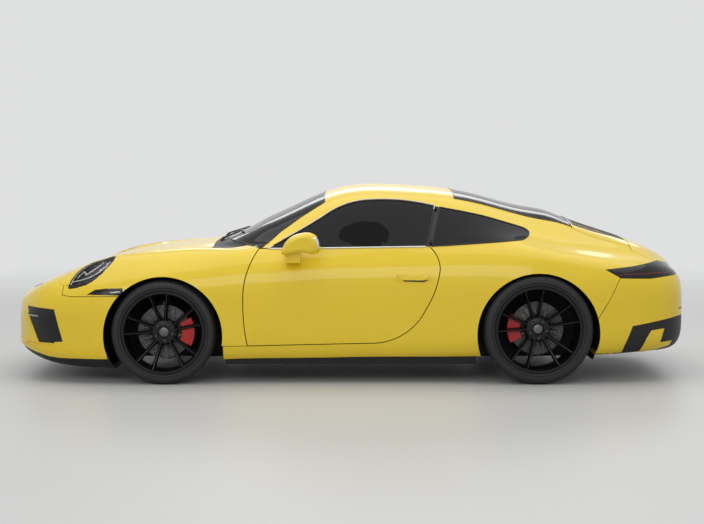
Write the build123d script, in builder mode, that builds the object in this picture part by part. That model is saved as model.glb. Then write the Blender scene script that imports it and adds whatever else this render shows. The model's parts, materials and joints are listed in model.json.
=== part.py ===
from build123d import *
import math
import os

os.makedirs("parts", exist_ok=True)

# A two-door rear-engined coupe in its own frame: +X to the nose, +Y to the driver's left,
# +Z up, with the origin on the ground under the middle of the car. All sizes in mm.

# ---------------------------------------------------------------- driving sizes
WHEELBASE = 2450
FRONT_AXLE_X = 1222
REAR_AXLE_X = FRONT_AXLE_X - WHEELBASE
FRONT_WHEEL_Y = 787
REAR_WHEEL_Y = 770
KINGPIN_Y = 727.5

PANEL = 20           # depth of a pressed panel with its inner flange
GLASS = 6            # glass thickness
SHUT_GAP = 6         # gap round a panel that opens
SEAM = 4             # gap between panels that stay put
CLEAR = 10           # least room left under the lids for what is fixed
REACH = 1100         # half width of a cutter that passes through both sides
SKY = 1500           # a height above the roof

FRONT_ARCH = {"x": 1224, "z": 318, "radius": 388}
REAR_ARCH = {"x": -1226, "z": 328, "radius": 400}
LINER_RADIUS = 416
LINER_WALL = 4
FRONT_LINER_Y = 470
REAR_LINER_Y = 600

FLOOR_LOW = 124
FLOOR_TOP = 150
SILL_INNER_Y = 700   # the floor meets the sill boxes here
SILL_TOP = 244
DOOR_TRIM_Y = 715    # inner face of the door trim
DOOR_INSET = 26      # how far the door's inner half stands inside its outline

HOOD_REAR_X = 905
LID_FRONT_X = -1500
LID_REAR_X = -1880

# ---------------------------------------------------------------- body sections
# Each section is one smooth curve from sill to sill. sill: bottom corner, wide: the widest
# point, belt: the shoulder under the glass, rail: the roof or hood edge, top: the centre
# line. bulge pushes the curve out, or in where negative, between belt and rail.
SECTION_COLUMNS = ("x", "sill_y", "sill_z", "wide_y", "wide_z", "belt_y", "belt_z",
                   "bulge", "rail_y", "rail_z", "top_z")
SECTION_ROWS = (
    (2259.5, 200, 300, 260, 380, 240, 440, 4, 150, 462, 470),
    (2246, 330, 230, 420, 380, 385, 490, 5, 250, 525, 535),
    (2200, 460, 185, 580, 400, 530, 535, 6, 330, 572, 583),
    (2110, 570, 150, 710, 420, 640, 585, 10, 400, 616, 624),
    (1960, 670, 115, 815, 440, 735, 640, 22, 470, 682, 693),
    (1850, 715, 104, 855, 455, 770, 662, 34, 500, 718, 731),
    (1760, 742, 100, 880, 470, 790, 690, 44, 520, 750, 765),
    (1660, 768, 98, 900, 490, 805, 720, 52, 530, 782, 797),
    (1560, 788, 98, 911, 508, 815, 742, 56, 535, 806, 822),
    (1420, 808, 100, 920, 535, 822, 765, 52, 535, 832, 848),
    (1222, 830, 112, 926, 560, 828, 790, 44, 540, 858, 873),
    (1040, 835, 135, 918, 562, 815, 812, 34, 560, 878, 896),
    (820, 835, 160, 900, 565, 795, 838, 14, 600, 892, 945),
    (600, 832, 166, 890, 570, 788, 855, 6, 640, 935, 1052),
    (330, 828, 168, 884, 580, 786, 875, 8, 632, 1052, 1178),
    (50, 824, 170, 882, 585, 790, 885, 10, 604, 1170, 1279),
    (-250, 822, 172, 884, 590, 795, 890, 10, 592, 1204, 1298),
    (-600, 826, 175, 896, 600, 810, 893, 8, 582, 1174, 1275),
    (-930, 834, 180, 918, 610, 832, 890, 0, 558, 1112, 1214),
    (-1228, 840, 185, 926, 620, 846, 862, -12, 530, 1032, 1141),
    (-1520, 830, 190, 922, 610, 838, 822, -18, 515, 968, 1057),
    (-1800, 800, 195, 895, 590, 810, 785, -8, 520, 905, 962),
    (-2020, 730, 205, 835, 575, 750, 750, 4, 520, 838, 882),
    (-2150, 640, 220, 745, 560, 665, 712, 6, 430, 775, 806),
    (-2215, 530, 250, 630, 545, 565, 670, 6, 350, 712, 732),
    (-2248, 400, 300, 480, 530, 430, 610, 5, 260, 640, 650),
    (-2259.5, 300, 360, 350, 500, 320, 560, 4, 180, 580, 590),
)
SECTIONS = [dict(zip(SECTION_COLUMNS, row)) for row in SECTION_ROWS]
REFERENCE_SECTION = 16
END_ROOM = 4         # least distance between the end cap and the next section


def half_section(section, inset):
    """Points from the sill corner up to the centre line, moved inwards by inset."""
    s = section
    out = s["wide_y"] - s["sill_y"]
    lift = s["wide_z"] - s["sill_z"]
    across = s["rail_y"] - s["belt_y"]
    rise = s["rail_z"] - s["belt_z"]
    slant = math.hypot(across, rise)
    crown = s["top_z"] - s["rail_z"]
    points = [
        (s["sill_y"], s["sill_z"]),
        (s["sill_y"] + 0.72 * out, s["sill_z"] + 0.16 * lift),
        (s["sill_y"] + 0.95 * out, s["sill_z"] + 0.52 * lift),
        (s["wide_y"], s["wide_z"]),
        (s["belt_y"] + 0.72 * (s["wide_y"] - s["belt_y"]),
         s["wide_z"] + 0.60 * (s["belt_z"] - s["wide_z"])),
        (s["belt_y"], s["belt_z"]),
        (s["belt_y"] + across / 2 + s["bulge"] * rise / slant,
         s["belt_z"] + rise / 2 - s["bulge"] * across / slant),
        (s["rail_y"], s["rail_z"]),
        (0.84 * s["rail_y"], s["rail_z"] + 0.50 * crown),
        (0.48 * s["rail_y"], s["rail_z"] + 0.87 * crown),
        (0, s["top_z"]),
    ]
    moved = []
    last = len(points) - 1
    for place, (y, z) in enumerate(points):
        before = points[max(place - 1, 0)]
        after = points[place + 1] if place < last else (-before[0], before[1])
        run, climb = after[0] - before[0], after[1] - before[1]
        length = math.hypot(run, climb)
        moved.append((y - inset * climb / length, z + inset * run / length))
    moved[0] = (points[0][0] - inset, points[0][1] + inset)
    moved[last] = (0, moved[last][1])
    return moved


def whole_section(section, inset):
    half = half_section(section, inset)
    return half + [(-y, z) for y, z in reversed(half[:-1])]


def curve_parameters(points):
    """One common spacing for every section, so that the skin is a single smooth face."""
    steps = [0.0]
    for (y0, z0), (y1, z1) in zip(points, points[1:]):
        steps.append(steps[-1] + math.hypot(y1 - y0, z1 - z0) ** 0.8)
    return [step / steps[-1] for step in steps]


PARAMETERS = curve_parameters(whole_section(SECTIONS[REFERENCE_SECTION], 0))


def body_loft(inset):
    """The closed body form, drawn in by inset all round."""
    nose, tail = SECTIONS[0]["x"] - inset, SECTIONS[-1]["x"] + inset
    stations = [(s["x"], s) for s in SECTIONS if tail + END_ROOM < s["x"] < nose - END_ROOM]
    first, last = SECTIONS.index(stations[0][1]), SECTIONS.index(stations[-1][1])
    stations.insert(0, (nose, SECTIONS[max(first - 1, 0)]))
    stations.append((tail, SECTIONS[min(last + 1, len(SECTIONS) - 1)]))
    with BuildPart() as hull:
        for x, section in stations:
            with BuildSketch(Plane.YZ.offset(x)):
                with BuildLine():
                    points = whole_section(section, inset)
                    add(Edge.make_spline([Vector(y, z) for y, z in points],
                                         parameters=PARAMETERS))
                    Line(points[-1], points[0])
                make_face()
        loft()
    return hull.part


def prism(outline, plane, start, end, grow=0.0):
    """A sketch on a plane's own axes, grown by a gap and extruded along its normal."""
    with BuildPart() as block:
        with BuildSketch(plane.offset(start)):
            add(outline)
            if grow:
                offset(amount=grow)
        extrude(amount=end - start)
    return block.part


def through_sides(outline, grow=0.0):
    return prism(outline, Plane.XZ, -REACH, REACH, grow)


def from_above(outline, grow=0.0, low=450):
    return prism(outline, Plane.XY, low, SKY, grow)


def block(low, high):
    """A box between two opposite corners."""
    with BuildPart() as box:
        size = [b - a for a, b in zip(low, high)]
        with Locations(Vector(*low)):
            Box(*size, align=(Align.MIN, Align.MIN, Align.MIN))
    return box.part


def write(part, name):
    part.label = name
    export_step(part, f"parts/{name}.step")


OUTER = body_loft(0)
INNER = body_loft(PANEL)
GLASS_INNER = body_loft(GLASS)
SHELL = OUTER - INNER
GLASS_SHELL = OUTER - GLASS_INNER


def cross_cylinder(arch, radius, low_y, high_y):
    with BuildPart() as drum:
        with BuildSketch(Plane.XZ.offset(-high_y)):
            with Locations((arch["x"], arch["z"])):
                Circle(radius)
        extrude(amount=high_y - low_y)
    return drum.part


# ---------------------------------------------------------------- outlines of the panels
# Side outlines are drawn in (x, z), outlines from above in (x, y).
DOOR_BELT_FRONT = (600, 880)
DOOR_BELT_REAR = (-513, 897)
DOOR_FRONT_X = 698
HOOD_CORNER = (HOOD_REAR_X + 20, 676)
HOOD_SHOULDER = (1010, 676)
PILLAR_FOOT = (584, 882)
HEADER_X = 175
ROOF_REAR_X = -700


def belt_z(x):
    """Height of the line where the door glass enters the door."""
    (x0, z0), (x1, z1) = DOOR_BELT_FRONT, DOOR_BELT_REAR
    return z0 + (z1 - z0) * (x - x0) / (x1 - x0)


with BuildSketch() as hood_outline:
    with BuildLine():
        front, corner = (2100, 400), (1920, 546)
        ThreePointArc((front[0], -front[1]), (2126, 0), front)
        ThreePointArc(front, (2040, 498), corner)
        ThreePointArc(corner, (1500, 612), HOOD_SHOULDER)
        Line(HOOD_SHOULDER, HOOD_CORNER)
        ThreePointArc(HOOD_CORNER, (HOOD_REAR_X, 0), (HOOD_CORNER[0], -HOOD_CORNER[1]))
        Line((HOOD_CORNER[0], -HOOD_CORNER[1]), (HOOD_SHOULDER[0], -HOOD_SHOULDER[1]))
        ThreePointArc((HOOD_SHOULDER[0], -HOOD_SHOULDER[1]), (1500, -612),
                      (corner[0], -corner[1]))
        ThreePointArc((corner[0], -corner[1]), (2040, -498), (front[0], -front[1]))
    make_face()

with BuildSketch() as door_outline:
    with BuildLine():
        front, foot, heel = (DOOR_FRONT_X, 549), (671, 256), (-132, 272)
        knee, back = (-488, 493), (-581, 753)
        ThreePointArc(DOOR_BELT_FRONT, (675, 725), front)
        ThreePointArc(front, (694, 410), foot)
        Line(foot, heel)
        ThreePointArc(heel, (-350, 335), knee)
        ThreePointArc(knee, (-556, 640), back)
        ThreePointArc(back, (-563, 835), DOOR_BELT_REAR)
        Line(DOOR_BELT_REAR, DOOR_BELT_FRONT)
    make_face()

with BuildSketch() as door_glass_outline:
    with BuildLine():
        front, rear, head = (545, belt_z(545)), (-495, belt_z(-495)), (-561, 1154)
        crown, brow = (-74, 1190), (140, 1112)
        Line(front, rear)
        Line(rear, head)
        ThreePointArc(head, (-317, 1193), crown)
        ThreePointArc(crown, (40, 1161), brow)
        ThreePointArc(brow, (329, 997), front)
    make_face()

with BuildSketch() as quarter_outline:
    with BuildLine():
        foot, head, tip = (-533, 899), (-596, 1150), (-1134, 938)
        Line(foot, head)
        Spline(head, (-870, 1095), (-1101, 1029), (-1190, 978), tip,
               tangents=((-1, -0.2), (1, -0.15)))
        Line(tip, foot)
    make_face()

with BuildSketch() as windscreen_outline:
    with BuildLine():
        Polyline((HEADER_X, SKY), (HEADER_X, 1181), (329, 1085), (463, 990), PILLAR_FOOT,
                 (850, 938), (1000, SKY), close=True)
    make_face()

with BuildSketch() as roof_outline:
    with BuildLine():
        ThreePointArc((HEADER_X, 536), (-250, 540), (ROOF_REAR_X, 518))
        Line((ROOF_REAR_X, 518), (ROOF_REAR_X, 0))
        Line((HEADER_X, 536), (HEADER_X, 0))
        mirror(about=Plane.XZ)
    make_face()

with BuildSketch() as rear_window_outline:
    with BuildLine():
        Polyline((ROOF_REAR_X, 0), (ROOF_REAR_X, 500), (LID_FRONT_X, 445), (LID_FRONT_X, 0))
        mirror(about=Plane.XZ)
    make_face()

with BuildSketch() as lid_outline:
    with BuildLine():
        Polyline((LID_FRONT_X - SHUT_GAP, 0), (LID_FRONT_X - SHUT_GAP, 470),
                 (LID_REAR_X, 530), (LID_REAR_X, 0))
        mirror(about=Plane.XZ)
    make_face()

# Air slots in the engine lid, lengthwise and side by side.
LID_SLOTS = {"count": 19, "pitch": 40, "width": 20, "front_x": LID_FRONT_X - 32,
             "rear_x": LID_REAR_X + 28}
with BuildSketch() as lid_slots_outline:
    slot_length = LID_SLOTS["front_x"] - LID_SLOTS["rear_x"]
    with Locations(((LID_SLOTS["front_x"] + LID_SLOTS["rear_x"]) / 2, 0)):
        with GridLocations(0, LID_SLOTS["pitch"], 1, LID_SLOTS["count"]):
            Rectangle(slot_length, LID_SLOTS["width"])

with BuildSketch() as spoiler_outline:
    with BuildLine():
        front_x = LID_REAR_X - SHUT_GAP
        Polyline((front_x, 0), (front_x, 590), (-2020, 640), (-2300, 560), (-2300, 0))
        mirror(about=Plane.XZ)
    make_face()

with BuildSketch() as cowl_outline:
    with BuildLine():
        Line((560, 0), (560, 640))
        Line((560, 640), (700, 652))
        Line((700, 652), HOOD_CORNER)
        Line(HOOD_CORNER, (HOOD_REAR_X + 20, 0))
        mirror(about=Plane.XZ)
    make_face()

with BuildSketch() as front_bumper_outline:
    with BuildLine():
        Polyline((1500, 60), (1500, 579), (1831, 571), (1890, 578), (1890, 800), (2300, 800),
                 (2300, 60), close=True)
    make_face()

with BuildSketch() as rear_bumper_outline:
    with BuildLine():
        Polyline((-1560, 60), (-1612, 430), (-1690, 560), (-1757, 694), (-1961, 688),
                 (-2103, 700), (-2300, 706), (-2300, 60), close=True)
    make_face()

with BuildSketch() as diffuser_outline:
    with BuildLine():
        Polyline((-1752, 60), (-1791, 250), (-1843, 382), (-2037, 414), (-2160, 433),
                 (-2300, 436), (-2300, 60), close=True)
    make_face()

with BuildSketch() as tail_lamp_outline:
    with BuildLine():
        Polyline((-1658, 752), (-1757, 697), (-1961, 691), (-2103, 703), (-2300, 709),
                 (-2300, 766), (-2130, 776), (-2050, 795), (-1832, 767), close=True)
    make_face()

with BuildSketch() as slit_outline:
    with BuildLine():
        Polyline((1722, 586), (1690, 605), (1620, 616), (1480, 620), (1480, 586), close=True)
    make_face()

with BuildSketch() as plate_recess_outline:
    with BuildLine():
        Polyline((-310, 640), (310, 640), (270, 505), (-270, 505), close=True)
    make_face()

# ---------------------------------------------------------------- openings in the skin
HEADLAMP = {"x": 1722, "y": 705, "z": 716, "long": 200, "short": 118, "depth": 45}
LAMP_PROUD = 150
HEADLAMP_FACING = Vector(0.568, 0.27, 0.78)
HEADLAMP_LONG = Vector(-0.81, 0, 0.59)


def headlamp_drum(depth):
    """The oval of each lamp, from depth behind its middle out past the skin."""
    centre = Vector(HEADLAMP["x"], HEADLAMP["y"], HEADLAMP["z"])
    seat = Plane(centre, x_dir=HEADLAMP_LONG, z_dir=HEADLAMP_FACING)
    with BuildPart() as drum:
        with BuildSketch(seat.offset(-depth)):
            Ellipse(HEADLAMP["long"], HEADLAMP["short"])
        extrude(amount=depth + LAMP_PROUD)
        mirror(about=Plane.XZ)
    return drum.part


with BuildPart() as arches:
    add(cross_cylinder(FRONT_ARCH, FRONT_ARCH["radius"], -REACH, REACH))
    add(cross_cylinder(REAR_ARCH, REAR_ARCH["radius"], -REACH, REACH))

INTAKE_FRONT_X = 1940
with BuildPart() as intake_openings:
    with BuildSketch(Plane.YZ.offset(INTAKE_FRONT_X)):
        with BuildLine():
            Polyline((470, 262), (500, 452), (760, 452), (815, 262), close=True)
        make_face()
        mirror(about=Plane.YZ)
        with Locations((0, 252)):
            Rectangle(780, 110)
    extrude(amount=400)

ARCHED = SHELL - arches.part

# Shallow pockets, as deep as the glass is thick: a slit ahead of each front wheel, the
# seat of the rear plate, and the groove over the front lip.
LIP_GROOVE = {"low": 240, "high": 256, "rear_x": 1960}
side_slits = GLASS_SHELL & through_sides(slit_outline.sketch)
plate_recess = GLASS_SHELL & prism(plate_recess_outline.sketch, Plane.YZ, -2300, -1900)
lip_groove = GLASS_SHELL & block((LIP_GROOVE["rear_x"], -900, LIP_GROOVE["low"]),
                                 (2300, 900, LIP_GROOVE["high"]))

# ---------------------------------------------------------------- outer panels
hood = SHELL & from_above(hood_outline.sketch)
write(hood, "hood")

front_bumper = ARCHED & through_sides(front_bumper_outline.sketch)
front_bumper = front_bumper - from_above(hood_outline.sketch, SHUT_GAP) - headlamp_drum(LAMP_PROUD)
front_bumper = front_bumper - intake_openings.part - lip_groove
write(front_bumper, "front_bumper")

with BuildSketch() as fender_outline:
    with BuildLine():
        Polyline((600, 254), (600, 960), (1960, 960), (1960, 254), close=True)
    make_face()

fenders = ARCHED & through_sides(fender_outline.sketch)
fenders = fenders - through_sides(front_bumper_outline.sketch, SEAM)
fenders = fenders - through_sides(door_outline.sketch, SHUT_GAP)
fenders = fenders - from_above(hood_outline.sketch, SHUT_GAP) - from_above(cowl_outline.sketch)
fenders = fenders - headlamp_drum(LAMP_PROUD) - through_sides(windscreen_outline.sketch)
fenders -= side_slits

cowl = SHELL & from_above(cowl_outline.sketch)
cowl = cowl - from_above(hood_outline.sketch, SHUT_GAP) - through_sides(windscreen_outline.sketch)
write(cowl, "cowl_panel")

windscreen = GLASS_SHELL & through_sides(windscreen_outline.sketch)
write(windscreen, "windscreen")

roof_panel = SHELL & from_above(roof_outline.sketch)
write(roof_panel, "roof_panel")

rear_window = GLASS_SHELL & from_above(rear_window_outline.sketch)
write(rear_window, "rear_window")

quarter_windows = GLASS_SHELL & through_sides(quarter_outline.sketch)
write(quarter_windows, "quarter_windows")

engine_lid = (SHELL & from_above(lid_outline.sketch)) - from_above(lid_slots_outline.sketch)
write(engine_lid, "engine_lid")

tail_lamp = SHELL & through_sides(tail_lamp_outline.sketch)
write(tail_lamp, "tail_lamp")

tail_spoiler = SHELL & from_above(spoiler_outline.sketch, low=745)
tail_spoiler -= through_sides(tail_lamp_outline.sketch)
write(tail_spoiler, "tail_spoiler")

rear_bumper = ARCHED & through_sides(rear_bumper_outline.sketch)
rear_bumper = rear_bumper - through_sides(diffuser_outline.sketch) - plate_recess
write(rear_bumper, "rear_bumper")

TIP_RADIUS = 40
TIP_ROOM = 8
EXHAUST_TIPS = ((-350, 290), (350, 290))
with BuildPart() as tip_holes:
    with BuildSketch(Plane.YZ.offset(-2105)):
        with Locations(*EXHAUST_TIPS):
            Circle(TIP_RADIUS + TIP_ROOM)
    extrude(amount=-200)
rear_diffuser = (SHELL & through_sides(diffuser_outline.sketch)) - tip_holes.part
write(rear_diffuser, "rear_diffuser")

with BuildSketch() as side_frame_outline:
    with BuildLine():
        Polyline((832, 60), (832, 250), (596, 250), (596, SKY), (-2300, SKY), (-2300, 60),
                 close=True)
    make_face()

# Boxed members that the side frame keeps inside its skin, on the left.
SIDE_MEMBERS = (
    block((-840, SILL_INNER_Y, 60), (840, REACH, SILL_TOP)),
    block((590, 640, FLOOR_TOP), (700, DOOR_TRIM_Y - 8, SKY)),
    block((556, 640, 888), (640, REACH, SKY)),
    block((-690, 690, SILL_TOP - 5), (-600, REACH, SKY)),
)
with BuildPart() as members:
    for member in SIDE_MEMBERS:
        add(member)
    mirror(about=Plane.XZ)
cavity = INNER - members.part

with BuildPart() as door_opening:
    add(prism(door_outline.sketch, Plane.XZ, -REACH, -(DOOR_TRIM_Y - 8), SHUT_GAP))
    mirror(about=Plane.XZ)

side_frames = (OUTER & through_sides(side_frame_outline.sketch)) - cavity - arches.part
for cutter in (
    door_opening.part,
    through_sides(door_glass_outline.sketch, SHUT_GAP),
    through_sides(quarter_outline.sketch),
    through_sides(windscreen_outline.sketch),
    from_above(cowl_outline.sketch),
    from_above(roof_outline.sketch),
    from_above(rear_window_outline.sketch),
    from_above(lid_outline.sketch, SHUT_GAP),
    from_above(spoiler_outline.sketch, SEAM, low=745),
    through_sides(tail_lamp_outline.sketch),
    through_sides(rear_bumper_outline.sketch, SEAM),
    block((-1700, -SILL_INNER_Y, 60), (900, SILL_INNER_Y, SILL_TOP)),
):
    side_frames -= cutter

headlamps = OUTER & headlamp_drum(HEADLAMP["depth"])
write(headlamps, "headlamps")

INTAKE_DEPTH = 40
front_grilles = INNER & intake_openings.part
front_grilles -= INNER.moved(Location((-INTAKE_DEPTH, 0, 0)))
write(front_grilles, "front_grilles")


def write_sides(pair, name):
    """Write the left and right solids of a pair as two pieces."""
    ordered = sorted(pair.solids(), key=lambda solid: solid.center().Y)
    for side, chosen in (("right", ordered[0]), ("left", ordered[-1])):
        write(Part(chosen.wrapped), f"{name}_{side}")


write_sides(fenders, "front_fender")
write_sides(side_frames, "side_frame")

door_glasses = GLASS_SHELL & through_sides(door_glass_outline.sketch)
write_sides(door_glasses, "door_glass")

# ---------------------------------------------------------------- doors
HANDLE = {"x": -410, "z": 702, "length": 222, "height": 38, "proud": 7}
with BuildSketch() as handle_outline:
    with Locations((HANDLE["x"], HANDLE["z"])):
        SlotOverall(HANDLE["length"], HANDLE["height"])
handle = body_loft(-HANDLE["proud"]) & prism(handle_outline.sketch, Plane.XZ, -REACH, -800)
slab = prism(door_outline.sketch, Plane.XZ, -REACH, -DOOR_TRIM_Y)
core = prism(door_outline.sketch, Plane.XZ, -REACH, -DOOR_TRIM_Y, -DOOR_INSET)
door_left = ((OUTER & slab) - ((slab - core) & INNER)) + (handle - INNER)
write(door_left, "door_left")
write(mirror(door_left, about=Plane.XZ), "door_right")

# ---------------------------------------------------------------- door mirrors
MIRROR = {"x": 322, "z": 926, "inner_y": 900, "outer_y": 1014}
MIRROR_STATIONS = ((0.0, 0.72), (0.25, 1.0), (0.75, 0.94), (1.0, 0.52))   # share of width, scale
MIRROR_OUTLINE = ((123, -52), (110, -14), (64, 40), (0, 65), (-78, 62), (-128, -10),
                  (-118, -50), (-90, -66), (0, -56))


def mirror_part():
    depth = MIRROR["outer_y"] - MIRROR["inner_y"]
    with BuildPart() as housing:
        for share, scale_by in MIRROR_STATIONS:
            with BuildSketch(Plane.XZ.offset(-MIRROR["inner_y"] - share * depth)):
                with BuildLine():
                    Spline([(MIRROR["x"] + dx * scale_by, MIRROR["z"] + dz * scale_by)
                            for dx, dz in MIRROR_OUTLINE], periodic=True)
                make_face()
        loft()
    foot = block((325, 760, 800), (425, 940, 884)) - OUTER
    return housing.part + foot


mirror_left = mirror_part()
write(mirror_left, "mirror_left")
write(mirror(mirror_left, about=Plane.XZ), "mirror_right")

# ---------------------------------------------------------------- floor and structure
STRUCTURE = body_loft(PANEL + CLEAR)

with BuildPart() as rockers:
    add(block((-826, SILL_INNER_Y, FLOOR_LOW), (826, 826, SILL_TOP - 40)))
    mirror(about=Plane.XZ)

with BuildPart() as floor_pan:
    with BuildSketch(Plane.XY.offset(FLOOR_LOW)):
        with BuildLine():
            Polyline((1500, 0), (1500, 400), (860, 430), (826, SILL_INNER_Y),
                     (-826, SILL_INNER_Y), (-860, 430), (-1640, 400), (-1640, 0))
            mirror(about=Plane.XZ)
        make_face()
    extrude(amount=FLOOR_TOP - FLOOR_LOW)
    with BuildSketch(Plane.XY.offset(FLOOR_TOP)):
        with Locations((-90, 0)):
            Rectangle(1740, 220)
    extrude(amount=150)
    add(rockers.part - OUTER)
write(floor_pan.part, "floor_pan")

FIREWALL_X = 850
BULKHEAD_X = -1010
WALL = 20
LINER_SIDES = ((FRONT_ARCH, FRONT_AXLE_X, FRONT_LINER_Y), (REAR_ARCH, REAR_AXLE_X, REAR_LINER_Y))


def well(arch, radius, inner_y):
    return cross_cylinder(arch, radius, inner_y, REACH)


with BuildPart() as wheel_liners:
    for arch, axle_x, inner_y in LINER_SIDES:
        add(well(arch, LINER_RADIUS + LINER_WALL, inner_y) - well(arch, LINER_RADIUS, inner_y))
    mirror(about=Plane.XZ)
LINER_LOW = 250
wheel_liners = (wheel_liners.part & INNER) - block((-2300, -REACH, 0), (2300, REACH, LINER_LOW))
write(wheel_liners, "wheel_liners")

with BuildPart() as front_wells:
    add(well(FRONT_ARCH, LINER_RADIUS + LINER_WALL, FRONT_LINER_Y - 20))
    mirror(about=Plane.XZ)

with BuildPart() as tub:
    add(block((1000, -440, 300), (1800, 440, SKY)))
    add(block((1000 + WALL, -440 + WALL, 300 + WALL), (1800 - WALL, 440 - WALL, SKY)),
        mode=Mode.SUBTRACT)
    add(block((FIREWALL_X + WALL, -440, 300), (1000, -440 + WALL, 700)))
    add(block((FIREWALL_X + WALL, 440 - WALL, 300), (1000, 440, 700)))
    add(block((1780, -390, 420), (2060, -330, 500)))
    add(block((1780, 330, 420), (2060, 390, 500)))
    for low_x in (1130, 1290):
        add(block((low_x, -700, 775), (low_x + WALL, -440, SKY)))
        add(block((low_x, 440, 775), (low_x + WALL, 700, SKY)))
with BuildPart() as aprons:
    add(block((FIREWALL_X, 700, 300), (1560, 716, SKY)))
    mirror(about=Plane.XZ)
with BuildPart() as firewall:
    add(block((FIREWALL_X, -716, FLOOR_TOP), (FIREWALL_X + WALL, 716, SKY)))
    add(block((2060, -560, 480), (2300, 560, 560)))
front_structure = (tub.part & STRUCTURE) + (aprons.part & INNER) + (firewall.part & INNER)
front_structure = front_structure - front_wells.part - intake_openings.part
front_structure -= headlamp_drum(HEADLAMP["depth"])
write(front_structure, "front_structure")

with BuildPart() as rear_wells:
    add(well(REAR_ARCH, LINER_RADIUS + LINER_WALL, REAR_LINER_Y - 20))
    mirror(about=Plane.XZ)

with BuildPart() as rear_frame:
    add(block((BULKHEAD_X - WALL, -REACH, FLOOR_TOP), (BULKHEAD_X, REACH, 900)))
    add(block((LID_FRONT_X - 20, -REACH, 880), (BULKHEAD_X, REACH, 900)))
    for low_y in (-480, 430):
        add(block((-2060, low_y, 300), (BULKHEAD_X, low_y + 50, 400)))
    add(block((-1960, -480, 320), (-1920, 480, 400)))
    add(block((-2300, -560, 440), (-2050, 560, 540)))
    add(block((-2060, -480, 300), (-2040, 480, 540)))
rear_structure = (rear_frame.part & INNER) - rear_wells.part
write(rear_structure, "rear_structure")

# ---------------------------------------------------------------- engine and exhaust
with BuildPart() as engine:
    add(block((-1920, -290, 240), (-1340, 290, 620)))
    fillet(engine.edges().filter_by(Axis.Z), 30)
write(engine.part, "engine")

with BuildPart() as exhaust:
    add(block((-2100, -420, 246), (-1962, 420, 300)))
    with BuildSketch(Plane.YZ.offset(-2100)):
        with Locations(*EXHAUST_TIPS):
            Circle(TIP_RADIUS)
            Circle(TIP_RADIUS - 4, mode=Mode.SUBTRACT)
    extrude(amount=-120)
write(exhaust.part, "exhaust")

# ---------------------------------------------------------------- wheels
PIN_PLAY = 0.05    # radial play of a running pin
SPOKE_PAIRS = 5
SPOKE_HALF_ANGLE = 13
SPINDLE_RADIUS = 28
SPINDLE_DEPTH = 44
DISC_RADIUS = 175
DISC_HALF = 16
HAT_DEPTH = 48
BEAD_PLAY = 0.2

WHEELS = (
    # name, axle x, wheel y, tyre radius, tyre width, rim radius, disc y
    dict(end="front", x=FRONT_AXLE_X, y=FRONT_WHEEL_Y, radius=340, width=245, rim=271.5,
         disc_y=782),
    dict(end="rear", x=REAR_AXLE_X, y=REAR_WHEEL_Y, radius=358, width=300, rim=284.2,
         disc_y=765),
)


def place_wheel(part, wheel):
    """Move a piece made about the wheel's own centre to the left side of the car."""
    return part.moved(Location((wheel["x"], wheel["y"], wheel["radius"])))


def ring(points):
    """Turn a profile given as (radius, y) about the axle."""
    with BuildPart() as turned:
        with BuildSketch(Plane.XY):
            with BuildLine():
                Polyline(*points, close=True)
            make_face()
        revolve(axis=Axis.Y)
    return turned.part


def tyre_part(wheel):
    half, rim_half = wheel["width"] / 2, wheel["width"] / 2 - 6
    radius, seat = wheel["radius"], wheel["rim"] - 11 + BEAD_PLAY
    side = [(seat, rim_half - 15), (wheel["rim"] + 26, half), (radius - 16, half - 8),
            (radius, half - 34)]
    return ring(side + [(r, -y) for r, y in reversed(side)])


def rim_part(wheel):
    half, rim = wheel["width"] / 2 - 6, wheel["rim"]
    barrel = [(rim - 19, half), (rim, half), (rim, half - 8), (rim - 11, half - 14)]
    hub_y = wheel["disc_y"] + HAT_DEPTH - wheel["y"]
    spoke_inner = Plane((44, hub_y + 22, 0), x_dir=(0, 1, 0), z_dir=(1, 0, 0))
    spoke_outer = Plane((rim - 14, half - 18, 0), x_dir=(0, 1, 0), z_dir=(1, 0, 0))
    with BuildPart() as spoke:
        with BuildSketch(spoke_inner):
            Rectangle(42, 30)
        with BuildSketch(spoke_outer):
            Rectangle(28, 20)
        loft(ruled=True)
    with BuildPart() as rim_body:
        add(ring(barrel + [(r, -y) for r, y in reversed(barrel)]))
        add(ring([(0, hub_y), (78, hub_y), (72, hub_y + 40), (30, hub_y + 44), (0, hub_y + 44)]))
        for pair in range(SPOKE_PAIRS):
            for lean in (-SPOKE_HALF_ANGLE, SPOKE_HALF_ANGLE):
                turn = pair * 360 / SPOKE_PAIRS + lean + 90
                add(spoke.part.rotate(Axis.Y, -turn))
    return rim_body.part


def disc_part(wheel):
    middle = wheel["disc_y"] - wheel["y"]
    face = middle + HAT_DEPTH
    bore = SPINDLE_RADIUS + PIN_PLAY
    mouth = middle - DISC_HALF
    return ring([(bore, mouth), (DISC_RADIUS, mouth), (DISC_RADIUS, middle + DISC_HALF),
                 (90, middle + DISC_HALF), (78, face), (0, face), (0, face - 8), (bore, face - 8)])


def caliper_part(wheel, side):
    """A bridge over the disc's edge, ahead of the axle for side +1 and behind it for -1."""
    middle = wheel["disc_y"] - wheel["y"]
    slot = DISC_HALF + 6
    profile = [(112, -46), (198, -46), (198, 46), (118, 46), (118, slot),
               (DISC_RADIUS + 6, slot), (DISC_RADIUS + 6, -slot), (112, -slot)]
    with BuildPart() as bridge:
        with BuildSketch(Plane.XY):
            with BuildLine():
                Polyline(*[(side * r, middle + y) for r, y in profile], close=True)
            make_face()
        revolve(axis=Axis.Y, revolution_arc=56)
    return bridge.part.rotate(Axis.Y, -28)


for wheel in WHEELS:
    pieces = {"tyre": tyre_part(wheel), "rim": rim_part(wheel), "disc": disc_part(wheel)}
    for name, piece in pieces.items():
        placed = place_wheel(piece, wheel)
        write(placed, f"{name}_{wheel['end']}_left")
        write(mirror(placed, about=Plane.XZ), f"{name}_{wheel['end']}_right")

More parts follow.
